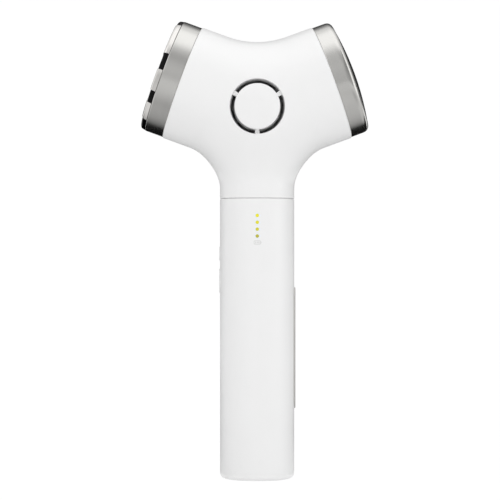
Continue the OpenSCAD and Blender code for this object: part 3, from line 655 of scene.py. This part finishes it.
class TONER_OT_vent_discs(bpy.types.Operator):
    """Plain discs inside the ring-shaped vents, with their bridges"""
    bl_idname = "toner.vent_discs"
    bl_label = "Vent discs"

    def execute(self, context):
        form, detail = context.scene.toner_body, context.scene.toner_detail
        shell = moulded_abs("abs_moulded_white_disc", context.scene.toner_finish.shell)
        disc, bridges = self.disc(form, detail), self.bridges(form, detail)
        for side, node in ((1, "front_vent_disc"), (-1, "rear_vent_disc")):
            sheets = [(disc * (1, side, 1), False, True, False)]
            sheets += [(bridge * (1, side, 1), False, True, True) for bridge in bridges]
            new_piece("skin_" + node, sheets, shell, BODY, "white_shell", node)
        return {"FINISHED"}

    def disc(self, form, detail):
        """Closed section of the disc carried round its middle, (rows, n, 3): the body's own surface, a
        rounded edge, the slot's drafted wall and a hollow back."""
        edge, radius, inner = 0.35 * MM, detail.disc_radius, detail.disc_radius - 1.2 * MM
        wall_y, back_y, hollow_y = -20 * MM, DISC_BACK, -18 * MM
        around = 180
        turn = np.radians(np.arange(around) * 360 // around)

        def ring(r, inset=None, y=None):
            """Row of the given radius, inset under the body's surface or flat at a y."""
            x, z = r * np.cos(turn), form.centre_height + r * np.sin(turn)
            depth = -half_depth(form, x, z, inset) if y is None else np.full(around, y)
            return np.stack((x, depth, z), 1)

        steps, edge_steps = 12, 6
        rows = [ring(radius * k / steps - edge * k / steps, 0) for k in range(steps + 1)]
        arc = [math.pi / 2 * k / edge_steps for k in range(1, edge_steps + 1)]
        rows += [ring(radius - edge * (1 - math.sin(a)), edge * (1 - math.cos(a))) for a in arc]
        rows += [ring(radius, y=wall_y), ring(radius + SLOT_DRAFT, y=back_y), ring(inner, y=back_y),
                 ring(inner, y=hollow_y), ring(0, y=hollow_y)]
        return np.stack(rows)

    def bridges(self, form, detail):
        """Three blocks across the slot, (n, 4, 3) each: four corners carried along an arc."""
        around, overlap = 9, (0.3 * MM, 0.02 * MM)
        r = np.array((detail.disc_radius - overlap[0], detail.vent_radius + overlap[1]))
        blocks = []
        for angle in np.radians((30, 150, 270)):
            a = angle + np.linspace(-0.5, 0.5, around) * detail.bridge_angle
            x, z = np.cos(a), np.sin(a)
            slot_x = detail.vent_radius * math.cos(angle)
            slot_z = form.centre_height + detail.vent_radius * math.sin(angle)
            front = -half_depth(form, slot_x, slot_z, detail.bridge_depth)
            corners = [np.stack((x * r[i], np.full(around, y), form.centre_height + z * r[i]), 1)
                       for i, y in ((0, front), (1, front), (1, DISC_BACK), (0, DISC_BACK))]
            blocks.append(np.stack(corners, 1))
        return blocks


class TONER_OT_handle(bpy.types.Operator):
    """Handle sleeve with its openings"""
    bl_idname = "toner.handle"
    bl_label = "Handle"

    def execute(self, context):
        form, detail = context.scene.toner_body, context.scene.toner_detail
        shell = moulded_abs("abs_moulded_white_handle", context.scene.toner_finish.shell,
                            lights=(detail.light_height, detail.light_pitch))
        foot, wall, floor = form.foot_radius, form.handle_wall, 2 * MM
        top, lip = form.seam_height - HALF_SEAM, 0.35 * MM
        turns = [math.pi / 2 * k / 8 for k in range(9)]
        # rows of inset, height and share of the section's size, from the middle of the foot over the
        # outside and the top edge, down the inside, to the middle of the floor
        levels = [(foot, 0.0, k / 6) for k in range(6)]
        levels += [(foot * (1 - math.sin(a)), foot * (1 - math.cos(a)), 1) for a in turns]
        levels += [(0.0, z, 1) for z in np.linspace(foot, top - lip, 44)[1:]]
        levels += [(lip * (1 - math.cos(a)), top - lip * (1 - math.sin(a)), 1) for a in turns[1:]]
        levels += [(wall, z, 1) for z in np.linspace(top, floor, 12)]
        levels += [(wall, floor, k / 4) for k in range(3, -1, -1)]
        rows = [np.column_stack((section(form, inset) * share, np.full(AROUND, z)))
                for inset, z, share in levels]
        piece = new_piece("skin_handle_sleeve", [(np.stack(rows), False, True, False)], shell, BODY,
                          "white_shell", "handle_sleeve")
        cut(piece, self.openings(form, detail))
        return {"FINISHED"}

    def side_hole(self, form, side, z, long, wide, mouth, depth=None, floor=None):
        """Pill-shaped cutting sheet whose rows follow the handle's side, with a small rounded mouth. It
        ends at a depth under the surface, or on a flat floor at an x."""
        over = 0.3 * MM
        turns = np.radians((25, 45, 67, 90))
        steps = [(mouth + over, -over)]
        steps += [(mouth * (1 - math.sin(a)), mouth * (1 - math.cos(a))) for a in turns]
        rows = []
        for grow, down in steps:
            p = pill(long + 2 * grow, wide + 2 * grow)
            rows.append(np.column_stack((side * (side_x(form, p[:, 0]) - down), p[:, 0], z + p[:, 1])))
        p = pill(long, wide)
        x = np.full(len(p), side * floor) if floor else side * (side_x(form, p[:, 0]) - depth)
        rows.append(np.column_stack((x, p[:, 0], z + p[:, 1])))
        return (np.stack(rows), False, True, True)

    def openings(self, form, detail):
        """Cutting sheets for the buttons, the hand electrode's pocket, a pinhole, the charge lights and
        the charging socket."""
        gap, fit, through = 0.3 * MM, 0.1 * MM, 4 * MM
        wide = detail.button_width + gap
        sheets = [self.side_hole(form, -1, middle(node).z, long + gap, wide, mouth=0.12 * MM, depth=through)
                  for node, long in button_lengths(detail).items()]
        strip, pocket = "hand_electrode", form.handle_width / 2 - STRIP_POCKET
        sheets.append(self.side_hole(form, 1, middle(strip).z, span(strip).z + fit, detail.strip_width + fit,
                                     mouth=0.1 * MM, floor=pocket))
        pinhole_height, pinhole = 15.4 * MM, 0.9 * MM
        sheets.append(self.side_hole(form, -1, pinhole_height, pinhole, pinhole, mouth=0.1 * MM,
                                     depth=through))

        ring, before, behind = circle(detail.light_radius), -1 * MM, 3 * MM
        for k in range(4):
            z = detail.light_height + k * detail.light_pitch + ring[:, 1]
            rows = [np.column_stack((ring[:, 0], np.full(len(ring), -form.handle_depth / 2 + y), z))
                    for y in (before, behind)]
            sheets.append((np.stack(rows), False, True, True))

        # the socket's mouth, in millimetres of growth and height: a rounded rim, then straight up
        port_long, port_wide = 9.2, 3.5
        port = middle("charge_port")
        rows = []
        for grow, z in ((0.6, -0.3), (0.3, 0.0), (0.09, 0.06), (0, 0.3), (0, 3)):
            p = pill((port_long + 2 * grow) * MM, (port_wide + 2 * grow) * MM)
            rows.append(np.column_stack((p[:, 1], port.y + p[:, 0], np.full(len(p), z * MM))))
        sheets.append((np.stack(rows), False, True, True))
        return sheets


class TONER_OT_collars(bpy.types.Operator):
    """Metal collars of both arms"""
    bl_idname = "toner.collars"
    bl_label = "Collars"

    def rounding(self, radius, front, edge, room):
        """Points (n, 3) of a collar's rounding, as radius, place and a zero: a curve that starts gently
        along the collar, as its bend radius falls to `edge` over the first degrees of its turn, and ends
        on the front, where it has turned 90 degrees or come in by `room`."""
        turn = np.radians(np.linspace(0, 90, 181))
        extra, over = 4, math.radians(5)
        bend = edge * (1 + extra * np.exp(-turn / over)) * turn[1]
        inwards, along = (np.cumsum(bend * part) - bend[0] * part[0] for part in (np.sin(turn), np.cos(turn)))
        last = int(np.searchsorted(inwards, room)) - 1
        kept = np.linspace(0, last, 19).round().astype(int)
        return np.stack((radius - inwards[kept], front + along[kept] - along[last], 0.0 * kept), 1)

    def execute(self, context):
        form, face = context.scene.toner_body, context.scene.toner_face
        finish = context.scene.toner_finish
        radius, reach = face.collar_radius / MM, form.arm_reach / MM
        front, seat = reach + face.collar_width / MM, face.seat_radius / MM + 0.1
        spigot = (form.arm_radius - form.head_wall) / MM - 0.15
        bore, floor, tail = 19.4, front - 3.8, reach - 4
        for side, node, edge in ((-1, "hot_ring", face.hot_edge / MM), (1, "cool_ring", face.cool_edge / MM)):
            # section from the outside over the rounding into the seat, and down the bore to the spigot
            arc = self.rounding(radius, front, edge, radius - seat - 0.1)
            corners = [(radius, reach, 0.3), (radius, arc[0, 1] - 0.04, 0), *arc.tolist(),
                       (seat, front, 0.04), (seat, floor, 0), (bore, floor, 0), (bore, tail, 0),
                       (spigot, tail, 0), (spigot, reach, 0)]
            grid = turned(form, rounded(corners, steps=8), side)
            metal = turned_metal("aluminium_turned_satin_" + node, finish.collar, form, side)
            new_piece("skin_" + node, [(grid, True, True, False)], metal, BODY, "satin_metal", node)
        return {"FINISHED"}


class TONER_OT_hot_face(bpy.types.Operator):
    """Electrode face: black plate, electrode segments and heated plate"""
    bl_idname = "toner.hot_face"
    bl_label = "Hot face"

    # degrees round the arm's axis at which each electrode segment starts and ends, 0 being upwards;
    # the other three mirror them
    SEGMENTS = ((29.5, 71.5), (89, 111), (124.5, 147.3))

    def execute(self, context):
        form, face = context.scene.toner_body, context.scene.toner_face
        finish = context.scene.toner_finish
        ring_end = (form.arm_reach + face.collar_width) / MM
        front, back = ring_end + face.face_proud / MM, ring_end - PLATE_SEAT
        outer, seat, rim = face.plate_radius / MM, face.seat_radius / MM, face.rim_radius / MM
        warm, taper = face.warm_radius / MM, face.rim_taper / MM

        # black plate: a ring with a rounded rim, turned round the arm's axis
        bore, opening, step = warm - 0.95, warm + 0.05, front - 1
        corners = [(bore, back, 0), (seat, back, 0), (seat, ring_end, 0), (outer, ring_end, 0.1),
                   (outer - taper, front, rim), (opening, front, 0.15), (opening, step, 0), (bore, step, 0)]
        grid = turned(form, rounded(corners, steps=10), -1)
        black = gloss_black("polycarbonate_gloss_black", finish.black)
        new_piece("skin_hot_face", [(grid, True, True, False)], black, BODY, "black_gloss", "hot_face")

        # electrode segments: a thin band over the plate's front and rim, turned through part of a circle
        inner, up, sunk, fillet = face.pad_inner / MM, face.pad_proud / MM, 0.5, 0.06
        foot, every = ring_end + 0.05, 1.5
        corners = [(inner, front + up, fillet), (outer + up - taper, front + up, rim + up),
                   (outer + up, foot, fillet), (outer - sunk, foot, 0),
                   (outer - sunk - taper, front - sunk, rim - sunk), (inner, front - sunk, 0)]
        profile = rounded(corners, steps=8)
        sheets = []
        for start, end in self.SEGMENTS:
            for first, last in ((start, end), (-end, -start)):
                grid = turned(form, profile, -1, first, last, steps=2 + int((end - start) / every))
                sheets.append((grid.transpose(1, 0, 2), False, True, True))
        metal = polished_metal("electrode_plated_bright", finish.chrome, roughness=0.2)
        new_piece("skin_hot_electrodes", sheets, metal, BODY, "electrode_metal", "hot_electrodes")

        # heated plate: a shallow dome on a stem
        stem = warm - 1.05
        corners = dome(warm, rise=0.6, base=front, steps=14)
        corners += [(warm, front, 0.12), (warm, step, 0), (stem, step, 0), (stem, back, 0), (0, back, 0)]
        grid = turned(form, rounded(corners, closed=False), -1)
        metal = polished_metal("warm_plate_polished", finish.chrome, roughness=0.1)
        new_piece("skin_hot_plate", [(grid, False, True, False)], metal, BODY, "electrode_metal", "hot_plate")
        return {"FINISHED"}


class TONER_OT_cool_plate(bpy.types.Operator):
    """Domed, mirror-polished cooling plate"""
    bl_idname = "toner.cool_plate"
    bl_label = "Cooling plate"

    def execute(self, context):
        form, face = context.scene.toner_body, context.scene.toner_face
        ring_end = (form.arm_reach + face.collar_width) / MM
        back, outer = ring_end - PLATE_SEAT, face.seat_radius / MM
        # a dome over a straight edge, turned round the arm's axis
        corners = dome(outer, rise=face.dome_rise / MM, base=ring_end, steps=28)
        corners += [(outer, ring_end, 0.1), (outer, back, 0), (0, back, 0)]
        grid = turned(form, rounded(corners, closed=False), 1)
        metal = polished_metal("cooling_plate_mirror", context.scene.toner_finish.mirror, roughness=0.05)
        new_piece("skin_cool_plate", [(grid, False, True, False)], metal, BODY, "mirror_metal", "cool_plate")
        return {"FINISHED"}


class TONER_OT_side_controls(bpy.types.Operator):
    """Side buttons and the hand electrode strip"""
    bl_idname = "toner.side_controls"
    bl_label = "Buttons and hand electrode"

    def pill_cap(self, form, side, z, long, wide, proud, edge, levels):
        """Closed pill that follows the handle's side: rows shrink from its middle line outwards over a
        rounded edge, and then run down through flat levels (grow, x) to its back."""
        rows = []
        for share in np.linspace(0, 1, 6):
            inset = wide / 2 + (edge - wide / 2) * share
            rows.append((inset, proud))
        for a in np.radians((18, 36, 54, 72, 90)):
            rows.append((edge * (1 - math.sin(a)), proud - edge * (1 - math.cos(a))))
        grid = []
        for inset, height in rows:
            p = pill(long - 2 * inset, wide - 2 * inset)
            grid.append(np.column_stack((side * side_x(form, p[:, 0], -height), p[:, 0], z + p[:, 1])))
        for grow, x in levels:
            p = pill(long + 2 * grow, max(wide + 2 * grow, 0))
            grid.append(np.column_stack((np.full(len(p), side * x), p[:, 0], z + p[:, 1])))
        return (np.stack(grid), False, True, False)

    def execute(self, context):
        form, detail = context.scene.toner_body, context.scene.toner_detail
        finish = context.scene.toner_finish
        self.buttons(form, detail, finish)
        self.electrode(form, detail, finish)
        return {"FINISHED"}

    def buttons(self, form, detail, finish):
        """Both side buttons, with the flange behind the wall that keeps them in."""
        wide, proud, edge, flange = detail.button_width, detail.button_proud, 0.22 * MM, 0.8 * MM
        inner = form.handle_width / 2 - form.handle_wall
        flange_front, flange_back = inner - 0.4 * MM, inner - 1 * MM
        levels = [(0, flange_front), (flange, flange_front), (flange, flange_back), (-wide / 2, flange_back)]
        plastic = moulded_abs("abs_moulded_white_buttons", finish.shell)
        for node, long in button_lengths(detail).items():
            cap = self.pill_cap(form, -1, middle(node).z, long, wide, proud, edge, levels)
            new_piece("skin_" + node, [cap], plastic, node, "white_shell", node)

    def electrode(self, form, detail, finish):
        """Hand electrode strip, with the two pins that hold it."""
        node = "hand_electrode"
        wide, proud, edge, pin_radius = detail.strip_width, detail.strip_proud, 0.4 * MM, 1.2 * MM
        back = form.handle_width / 2 - STRIP_POCKET
        levels = [(0, back), (-wide / 2, back)]
        sheets = [self.pill_cap(form, 1, middle(node).z, span(node).z, wide, proud, edge, levels)]
        metal = polished_metal("hand_electrode_satin", finish.strip, roughness=0.48, grain=0.4)
        pin, ends = circle(pin_radius), (back + 0.1 * MM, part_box(node)[0].x)
        for share in (0.15, 0.85):
            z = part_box(node)[0].z + share * span(node).z
            rows = [np.column_stack((np.full(len(pin), x), pin[:, 0], z + pin[:, 1])) for x in ends]
            sheets.append((np.stack(rows), False, True, True))
        new_piece("skin_" + node, sheets, metal, BODY, "strip_metal", node)


class TONER_OT_battery_sign(bpy.types.Operator):
    """Faint battery sign under the charge lights"""
    bl_idname = "toner.battery_sign"
    bl_label = "Battery sign"

    def execute(self, context):
        form, finish = context.scene.toner_body, context.scene.toner_finish
        height, long, tall, line = 92.3 * MM, 2.7 * MM, 1.6 * MM, 0.26 * MM
        over, under = 0.015 * MM, -0.01 * MM
        closed = 0.001 * MM

        def stroke(outer, inner):
            """Closed ring of ink between two outlines (n, 2), lying on the handle's front."""
            rows = [np.column_stack((p[:, 0], -front_y(form, p[:, 0]) - y, height + p[:, 1]))
                    for p, y in ((inner, under), (outer, under), (outer, over), (inner, over))]
            return (np.stack(rows), True, True, False)

        def box(x, w, h):
            """Outline of a box with rounded corners: a superellipse of power six."""
            turn = np.radians(np.arange(72) * 5)
            c, s = np.cos(turn), np.sin(turn)
            k = (np.abs(c) ** 6 + np.abs(s) ** 6) ** (-1 / 6)
            return np.column_stack((x + w / 2 * c * k, h / 2 * s * k))

        sheets = [stroke(box(0, long, tall), box(0, long - 2 * line, tall - 2 * line))]
        knob = (long / 2 + 0.18 * MM, 0.22 * MM, 0.7 * MM)
        bars = [(k * 0.62 * MM, 0.36 * MM, 0.72 * MM) for k in (-1, 0, 1)]
        for x, w, h in (knob, *bars):
            sheets.append(stroke(box(x, w, h), box(x, closed, closed)))
        ink = pad_print("ink_pad_printed_grey", finish.print_grey)
        new_piece("battery_sign", sheets, ink, BODY, "white_shell")
        return {"FINISHED"}


# CAD parts that stay as they are: material, sRGB colour, grain size and height in millimetres, how
# far the tone wanders, roughness, index of refraction (None for a metal) and nodes
PLAIN_PARTS = (
    # ABS, moulded and left matt inside the housing
    ("abs_moulded_matt", "#E3E2DD", 0.4, 0.01, 0.03, 0.5, 1.54, "neck_sleeve power_plunger mode_plunger"),
    # glass-filled nylon, moulded: matt dark grey with a coarse grain
    ("nylon_moulded_dark", "#3A3A3C", 0.3, 0.02, 0.12, 0.6, 1.53, "chassis battery_strap button_switches"),
    # glass-filled nylon, moulded light: the fan, which the vent shows a little of
    ("nylon_moulded_grey", "#D2D3D5", 0.3, 0.02, 0.08, 0.55, 1.53, "fan_frame fan_rotor"),
    # silicone rubber, moulded: soft grey, no highlight
    ("silicone_moulded_grey", "#6C6C6E", 0.5, 0.01, 0.05, 0.7, 1.41, "hot_seal cool_seal"),
    # silicone gap filler, rolled into a sheet: pale grey and quite dull
    ("gap_pad_silicone", "#A9ADB0", 0.6, 0.02, 0.06, 0.8, 1.41, "thermal_pad"),
    # glass-fibre board under solder mask: green, slightly glossy, with a woven unevenness
    ("fibreglass_board_green", "#1F5A3A", 0.5, 0.01, 0.15, 0.35, 1.55, "main_board hot_board button_board"),
    # epoxy-moulded chips: near black, dull
    ("epoxy_moulded_black", "#1C1C1E", 0.2, 0.01, 0.15, 0.55, 1.55, "board_parts"),
    # steel, zinc plated: screws, socket and motor can, bright grey with a faint haze
    ("steel_zinc_plated", "#B9BBBE", 0.2, 0.005, 0.05, 0.3, None,
     "hot_screws sink_screws fan_screws board_screws charge_port motor_can"),
    # sintered tungsten alloy: warm, dull metal
    ("tungsten_alloy_sintered", "#9C8A63", 0.3, 0.01, 0.08, 0.45, None, "motor_weight"),
    # extruded aluminium: bright, dull grey
    ("aluminium_extruded", "#C3C4C7", 0.5, 0.01, 0.06, 0.4, None, "heat_sink"),
    # silicone rubber, extruded over copper: the inner leads, soft red
    ("silicone_extruded_red", "#A83A30", 0.4, 0.01, 0.05, 0.45, 1.41, "inner_leads"),
    # alumina ceramic, fired: white and matt
    ("alumina_fired", "#E9E8E2", 0.3, 0.01, 0.03, 0.6, 1.76, "peltier_module"),
    # polyimide film heater: clear amber film over copper
    ("polyimide_film_amber", "#B8702A", 0.8, 0.01, 0.1, 0.3, 1.7, "hot_heater"),
    # PVC sleeve, heat-shrunk on the cell: glossy blue
    ("pvc_shrunk_blue", "#3A6690", 2, 0.02, 0.06, 0.25, 1.53, "battery_cell"),
    # light-emitting diode bodies: milky resin
    ("resin_cast_milky", "#EDEBD9", 0.3, 0.01, 0.03, 0.4, 1.5, "indicator_leds"),
)


class TONER_OT_inner_parts(bpy.types.Operator):
    """Finishes of the CAD parts that stay as they are"""
    bl_idname = "toner.inner_parts"
    bl_label = "Finishes of the CAD parts"

    def execute(self, context):
        detail = context.scene.toner_detail
        pipe = light_pipe("acrylic_light_pipe_amber", detail.light_height, detail.light_pitch)
        finishes = [(pipe, ["indicator_lens"])]
        for name, code, grain, height, spread, roughness, index, nodes in PLAIN_PARTS:
            kind = {"IOR": index} if index else {"Metallic": 1.0}
            material = plain_part(name, code, grain * MM, height * MM, spread, Roughness=roughness, **kind)
            finishes.append((material, nodes.split()))
        left = set(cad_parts)
        for material, nodes in finishes:
            for node in nodes:
                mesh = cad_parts[node].data
                mesh.materials.clear()
                mesh.materials.append(material)
                left.discard(node)
        shown = [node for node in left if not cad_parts[node].hide_render]
        if shown:
            raise RuntimeError("these parts have no finish: " + ", ".join(sorted(shown)))
        return {"FINISHED"}


# Cards on a sphere round the head: both sides in degrees round from straight behind, positive to the
# right, then rows of degrees above the horizontal and level. A row with two levels has the first at
# the card's first side and the second at its last.
DOME_CARDS = {
    "back": ((-22, 22), ((-8, 0.02), (30, 0.04), (42, 0.3), (52, 0.85), (58, 1.05))),
    "back_left": ((-58, -22), ((-8, 0.12), (0, 0.2), (12, 0.4), (25, 0.75), (35, 0.9))),
    "back_right": ((22, 92), (
        (-8, 0.1, 0.25), (12, 0.12, 0.25), (22, 0.22, 0.3), (32, 0.45, 0.45), (45, 0.75, 0.7),
        (58, 1.0, 0.9))),
    "wing_right": ((92, 128), ((-8, 1.3), (50, 1.3), (58, 1.1))),
    "flag_right": ((128, 163), (
        (-8, 0.42), (5, 0.4), (15, 0.36), (30, 0.29), (37, 0.25, 0.45), (43, 0.2, 0.55),
        (52, 0.17, 0.7), (58, 0.2, 0.9))),
    "wing_left": ((-150, -104), ((-8, 0.66), (8, 0.7), (15, 0.78), (30, 1.05), (45, 1.35), (58, 1.4))),
    "front_right": ((163, 180), (
        (-8, 0.5, 0.64), (-1, 0.42, 0.64), (3, 0.4, 0.7), (10, 0.36, 0.66), (17, 0.36, 0.67),
        (26, 0.36, 0.7), (35, 0.45, 0.58), (43, 0.5), (52, 0.67), (58, 0.88))),
    "front_left": ((180, 210), (
        (-8, 0.68), (-1, 0.66), (3, 0.56), (9, 0.57, 0.7), (17, 0.6, 1.3), (26, 0.55, 1.15),
        (35, 0.5, 1.0), (43, 0.5, 0.88), (52, 0.5, 0.89), (58, 0.75, 1.0))),
    "softbox": ((0, 360), ((58, 0.92), (61, 1.0), (67, 1.25), (70, 1.34), (89, 1.36))),
}

# Cards just over the floor: both sides as x, then rows of y and level
GROUND_CARDS = {
    "ground_left": ((-0.12, 0), (
        (-0.9, 0.77), (-0.4, 0.76), (-0.3, 0.71), (-0.21, 0.6), (-0.15, 0.48), (-0.11, 0.4),
        (-0.075, 0.47), (-0.01, 0.42), (0.03, 0.3), (0.085, 0.03))),
    "ground_right": ((0, 0.12), (
        (-0.9, 0.55), (-0.4, 0.62), (-0.21, 0.72), (-0.15, 0.7), (-0.11, 0.64), (-0.04, 0.6),
        (-0.01, 0.55), (0.03, 0.44), (0.085, 0.1))),
    "ground_rear": ((-0.3, 0.3), ((0.085, 0.003), (0.9, 0.003))),
    "ground_far_left": ((-0.8, -0.12), ((-0.9, 0.72), (-0.2, 0.72), (-0.08, 0.9), (0.0, 0.86), (0.085, 0.4))),
    "ground_far_right": ((0.12, 0.8), (
        (-0.9, 0.76), (-0.4, 0.74), (-0.2, 0.42, 1.35), (-0.06, 0.7, 1.0), (0.0, 0.65, 0.9),
        (0.03, 0.68), (0.085, 0.35, 0.6))),
}

# Lamps: name, place, side length in metres, power in watts
LAMPS = (
    ("soft_front", (-0.12, -0.75, 0.76), 1.0, 2.0),
    ("soft_fill", (1.0, -1.3, 0.6), 1.2, 3.0),
    ("soft_top", (0.0, 0.15, 1.6), 1.0, 3.0),
)
LAMP_TARGET = (0, 0, 0.12)
CAMERA_PLACE = (-0.0028, -0.78, 0.0894)
DOME_RADIUS, DOME_CENTRE = 0.9, 0.14   # the sphere of the cards and the height of its middle
GROUND_HEIGHT = 0.002                  # of the cards over the floor


class TONER_OT_stage(bpy.types.Operator):
    """Pale floor, soft lamps, cards for the metal to reflect, world and camera"""
    bl_idname = "toner.stage"
    bl_label = "Stage and camera"

    def execute(self, context):
        scene = context.scene
        scene.view_settings.view_transform = "Standard"
        self.world(scene)
        self.floor()
        self.cards()
        self.lamps(scene)
        self.camera(scene)
        return {"FINISHED"}

    def seen(self, tree):
        """Socket that is 1 for the rays that show the background: camera, glossy and transmission."""
        path = add(tree, "ShaderNodeLightPath").outputs
        some = add(tree, "ShaderNodeMath", {0: path["Is Camera Ray"], 1: path["Is Glossy Ray"]},
                   operation="MAXIMUM")
        every = add(tree, "ShaderNodeMath", {0: some.outputs[0], 1: path["Is Transmission Ray"]},
                    operation="MAXIMUM")
        return every.outputs[0]

    def sheet(self, name, grid, material):
        """Stage object of one open sheet of points (rows, columns, 3)."""
        mesh = bpy.data.meshes.new(name)
        rows, columns = grid.shape[:2]
        mesh.from_pydata(grid.reshape(-1, 3).tolist(), [], sheet_faces(rows, columns, False, False, False, 0))
        mesh.shade_smooth()
        mesh.materials.append(material)
        piece = bpy.data.objects.new(name, mesh)
        bpy.context.scene.collection.objects.link(piece)
        return piece

    def card(self, name, grid, levels, material):
        """Card that only shows in reflections, as a studio's flags and softboxes do. `levels` holds how
        bright each point of its grid is."""
        piece = self.sheet("card_" + name, grid, material)
        level = piece.data.attributes.new("level", "FLOAT", "POINT")
        level.data.foreach_set("value", levels.ravel().astype(np.float32))
        piece.visible_camera = piece.visible_diffuse = piece.visible_shadow = False

    def fade(self, places, profile, count):
        """Levels (places, count) from rows (place, level) or (place, first level, last level): straight
        lines between the rows, and across from the first level to the last."""
        rows = np.array([(*row, row[-1])[:3] for row in profile])
        first, last = (np.interp(places, rows[:, 0], rows[:, k])[:, None] for k in (1, 2))
        return first + (last - first) * np.linspace(0, 1, count)

    def dome_card(self, name, sides, profile, material):
        """Part of a sphere round the head: x, y and z are its radius times cosine of the height with
        sine of the side, cosine of the height with cosine of the side, and sine of the height."""
        across, upwards = 25, 33
        side = np.radians(np.linspace(*sides, across))[None, :]
        height = np.linspace(profile[0][0], profile[-1][0], upwards)
        up = np.radians(height)[:, None]
        grid = np.stack((DOME_RADIUS * np.cos(up) * np.sin(side), DOME_RADIUS * np.cos(up) * np.cos(side),
                         DOME_CENTRE + DOME_RADIUS * np.sin(up) * np.ones_like(side)), 2)
        self.card(name, grid, self.fade(height, profile, across), material)

    def ground_card(self, name, sides, profile, material):
        """Flat strip just over the floor: an even grid between two x and two y."""
        across, along = 9, 41
        depths = np.linspace(profile[0][0], profile[-1][0], along)
        x, y = np.meshgrid(np.linspace(*sides, across), depths)
        grid = np.stack((x, y, np.full_like(x, GROUND_HEIGHT)), 2)
        self.card(name, grid, self.fade(depths, profile, across), material)

    def world(self, scene):
        """White surroundings that light the device a little less than they look."""
        world = bpy.data.worlds.new("soft_studio")
        world.use_nodes = True
        scene.world = world
        tree = world.node_tree
        level = add(tree, "ShaderNodeMapRange", {"Value": self.seen(tree), "To Min": 0.75, "To Max": 1.0})
        back = tree.nodes["Background"]
        back.inputs["Color"].default_value = (1, 1, 1, 1)
        tree.links.new(level.outputs["Result"], back.inputs["Strength"])

    def floor(self):
        """Roll of white paper that runs up into a far wall: a straight line, a quarter circle and a
        straight line, all carried along x. It glows by itself, mostly for the rays that show it, so
        that it looks evenly white."""
        turn = np.radians(np.linspace(0, 90, 13))
        bend = [(2.0 + math.sin(a), 1 - math.cos(a)) for a in turn]
        path = np.array([(-3.0, 0.0), (1.0, 0.0)] + bend + [(3.0, 5.0)])
        sides = (-4.0, 4.0)
        grid = np.stack([np.column_stack((np.full(len(path), x), path)) for x in sides], 1)
        material, tree, shader = begin("paper_roll_white", Roughness=0.9, Specular_IOR_Level=0.0)
        shader.inputs["Base Color"].default_value = linear("#F2F2F2")
        light = add(tree, "ShaderNodeEmission", {"Color": (1, 1, 1, 1), "Strength": 1.06})
        share = add(tree, "ShaderNodeMapRange", {"Value": self.seen(tree), "To Min": 0.35, "To Max": 0.86})
        both = add(tree, "ShaderNodeMixShader", {
            "Fac": share.outputs["Result"], 1: shader.outputs["BSDF"], 2: light.outputs["Emission"]})
        tree.links.new(both.outputs["Shader"], tree.nodes["Material Output"].inputs["Surface"])
        self.sheet("floor", grid, material)

    def cards(self):
        """All cards, in one black material that gives off each point's level."""
        lit, tree, shader = begin("card_lit", Base_Color=(0, 0, 0, 1), Specular_IOR_Level=0.0,
                                  Emission_Strength=1.0)
        level = add(tree, "ShaderNodeAttribute", attribute_name="level")
        tree.links.new(level.outputs["Fac"], shader.inputs["Emission Color"])
        for name, (sides, profile) in DOME_CARDS.items():
            self.dome_card(name, sides, profile, lit)
        for name, (sides, profile) in GROUND_CARDS.items():
            self.ground_card(name, sides, profile, lit)

    def lamps(self, scene):
        """Square soft lamps, which reflections don't show."""
        for name, place, size, power in LAMPS:
            data = bpy.data.lights.new(name, "AREA")
            data.energy, data.size = power, size
            lamp = bpy.data.objects.new(name, data)
            lamp.location = place
            aim = Vector(LAMP_TARGET) - lamp.location
            lamp.rotation_euler = aim.to_track_quat("-Z", "Y").to_euler()
            lamp.visible_glossy = lamp.visible_camera = False
            scene.collection.objects.link(lamp)

    def camera(self, scene):
        """Long lens, level and straight in front."""
        data = bpy.data.cameras.new("camera")
        data.sensor_width, data.lens = 36.0, 142.7
        data.clip_start, data.clip_end = 0.05, 20.0
        camera = bpy.data.objects.new("camera", data)
        camera.location = CAMERA_PLACE
        camera.rotation_euler = (math.pi / 2, 0, 0)
        scene.collection.objects.link(camera)
        scene.camera = camera


class TONER_PT_panel(bpy.types.Panel):
    """Lists every step of the build in the sidebar"""
    bl_idname = "TONER_PT_panel"
    bl_label = "Toning device"
    bl_space_type = "VIEW_3D"
    bl_region_type = "UI"
    bl_category = "Toning device"

    def draw(self, context):
        for step in STEPS:
            self.layout.operator(step.bl_idname)
        for name, group in GROUPS.items():
            box = self.layout.box()
            for key in group.__annotations__:
                box.prop(getattr(context.scene, name), key)


GROUPS = {
    "toner_body": BodyForm,
    "toner_face": FaceForm,
    "toner_detail": DetailForm,
    "toner_finish": Finishes,
}
STEPS = (
    TONER_OT_housing,
    TONER_OT_vent_discs,
    TONER_OT_handle,
    TONER_OT_collars,
    TONER_OT_hot_face,
    TONER_OT_cool_plate,
    TONER_OT_side_controls,
    TONER_OT_battery_sign,
    TONER_OT_inner_parts,
    TONER_OT_stage,
)


def register():
    """Adds the classes and the scene's groups of settings."""
    for kind in (*GROUPS.values(), *STEPS, TONER_PT_panel):
        bpy.utils.register_class(kind)
    for name, group in GROUPS.items():
        setattr(bpy.types.Scene, name, bpy.props.PointerProperty(type=group))


def unregister():
    """Takes them away again."""
    for name in GROUPS:
        delattr(bpy.types.Scene, name)
    for kind in (TONER_PT_panel, *reversed(STEPS), *reversed(list(GROUPS.values()))):
        bpy.utils.unregister_class(kind)


def main():
    """Builds every step in order."""
    register()
    for step in STEPS:
        group, name = step.bl_idname.split(".")
        getattr(getattr(bpy.ops, group), name)()


if __name__ == "__main__":
    main()
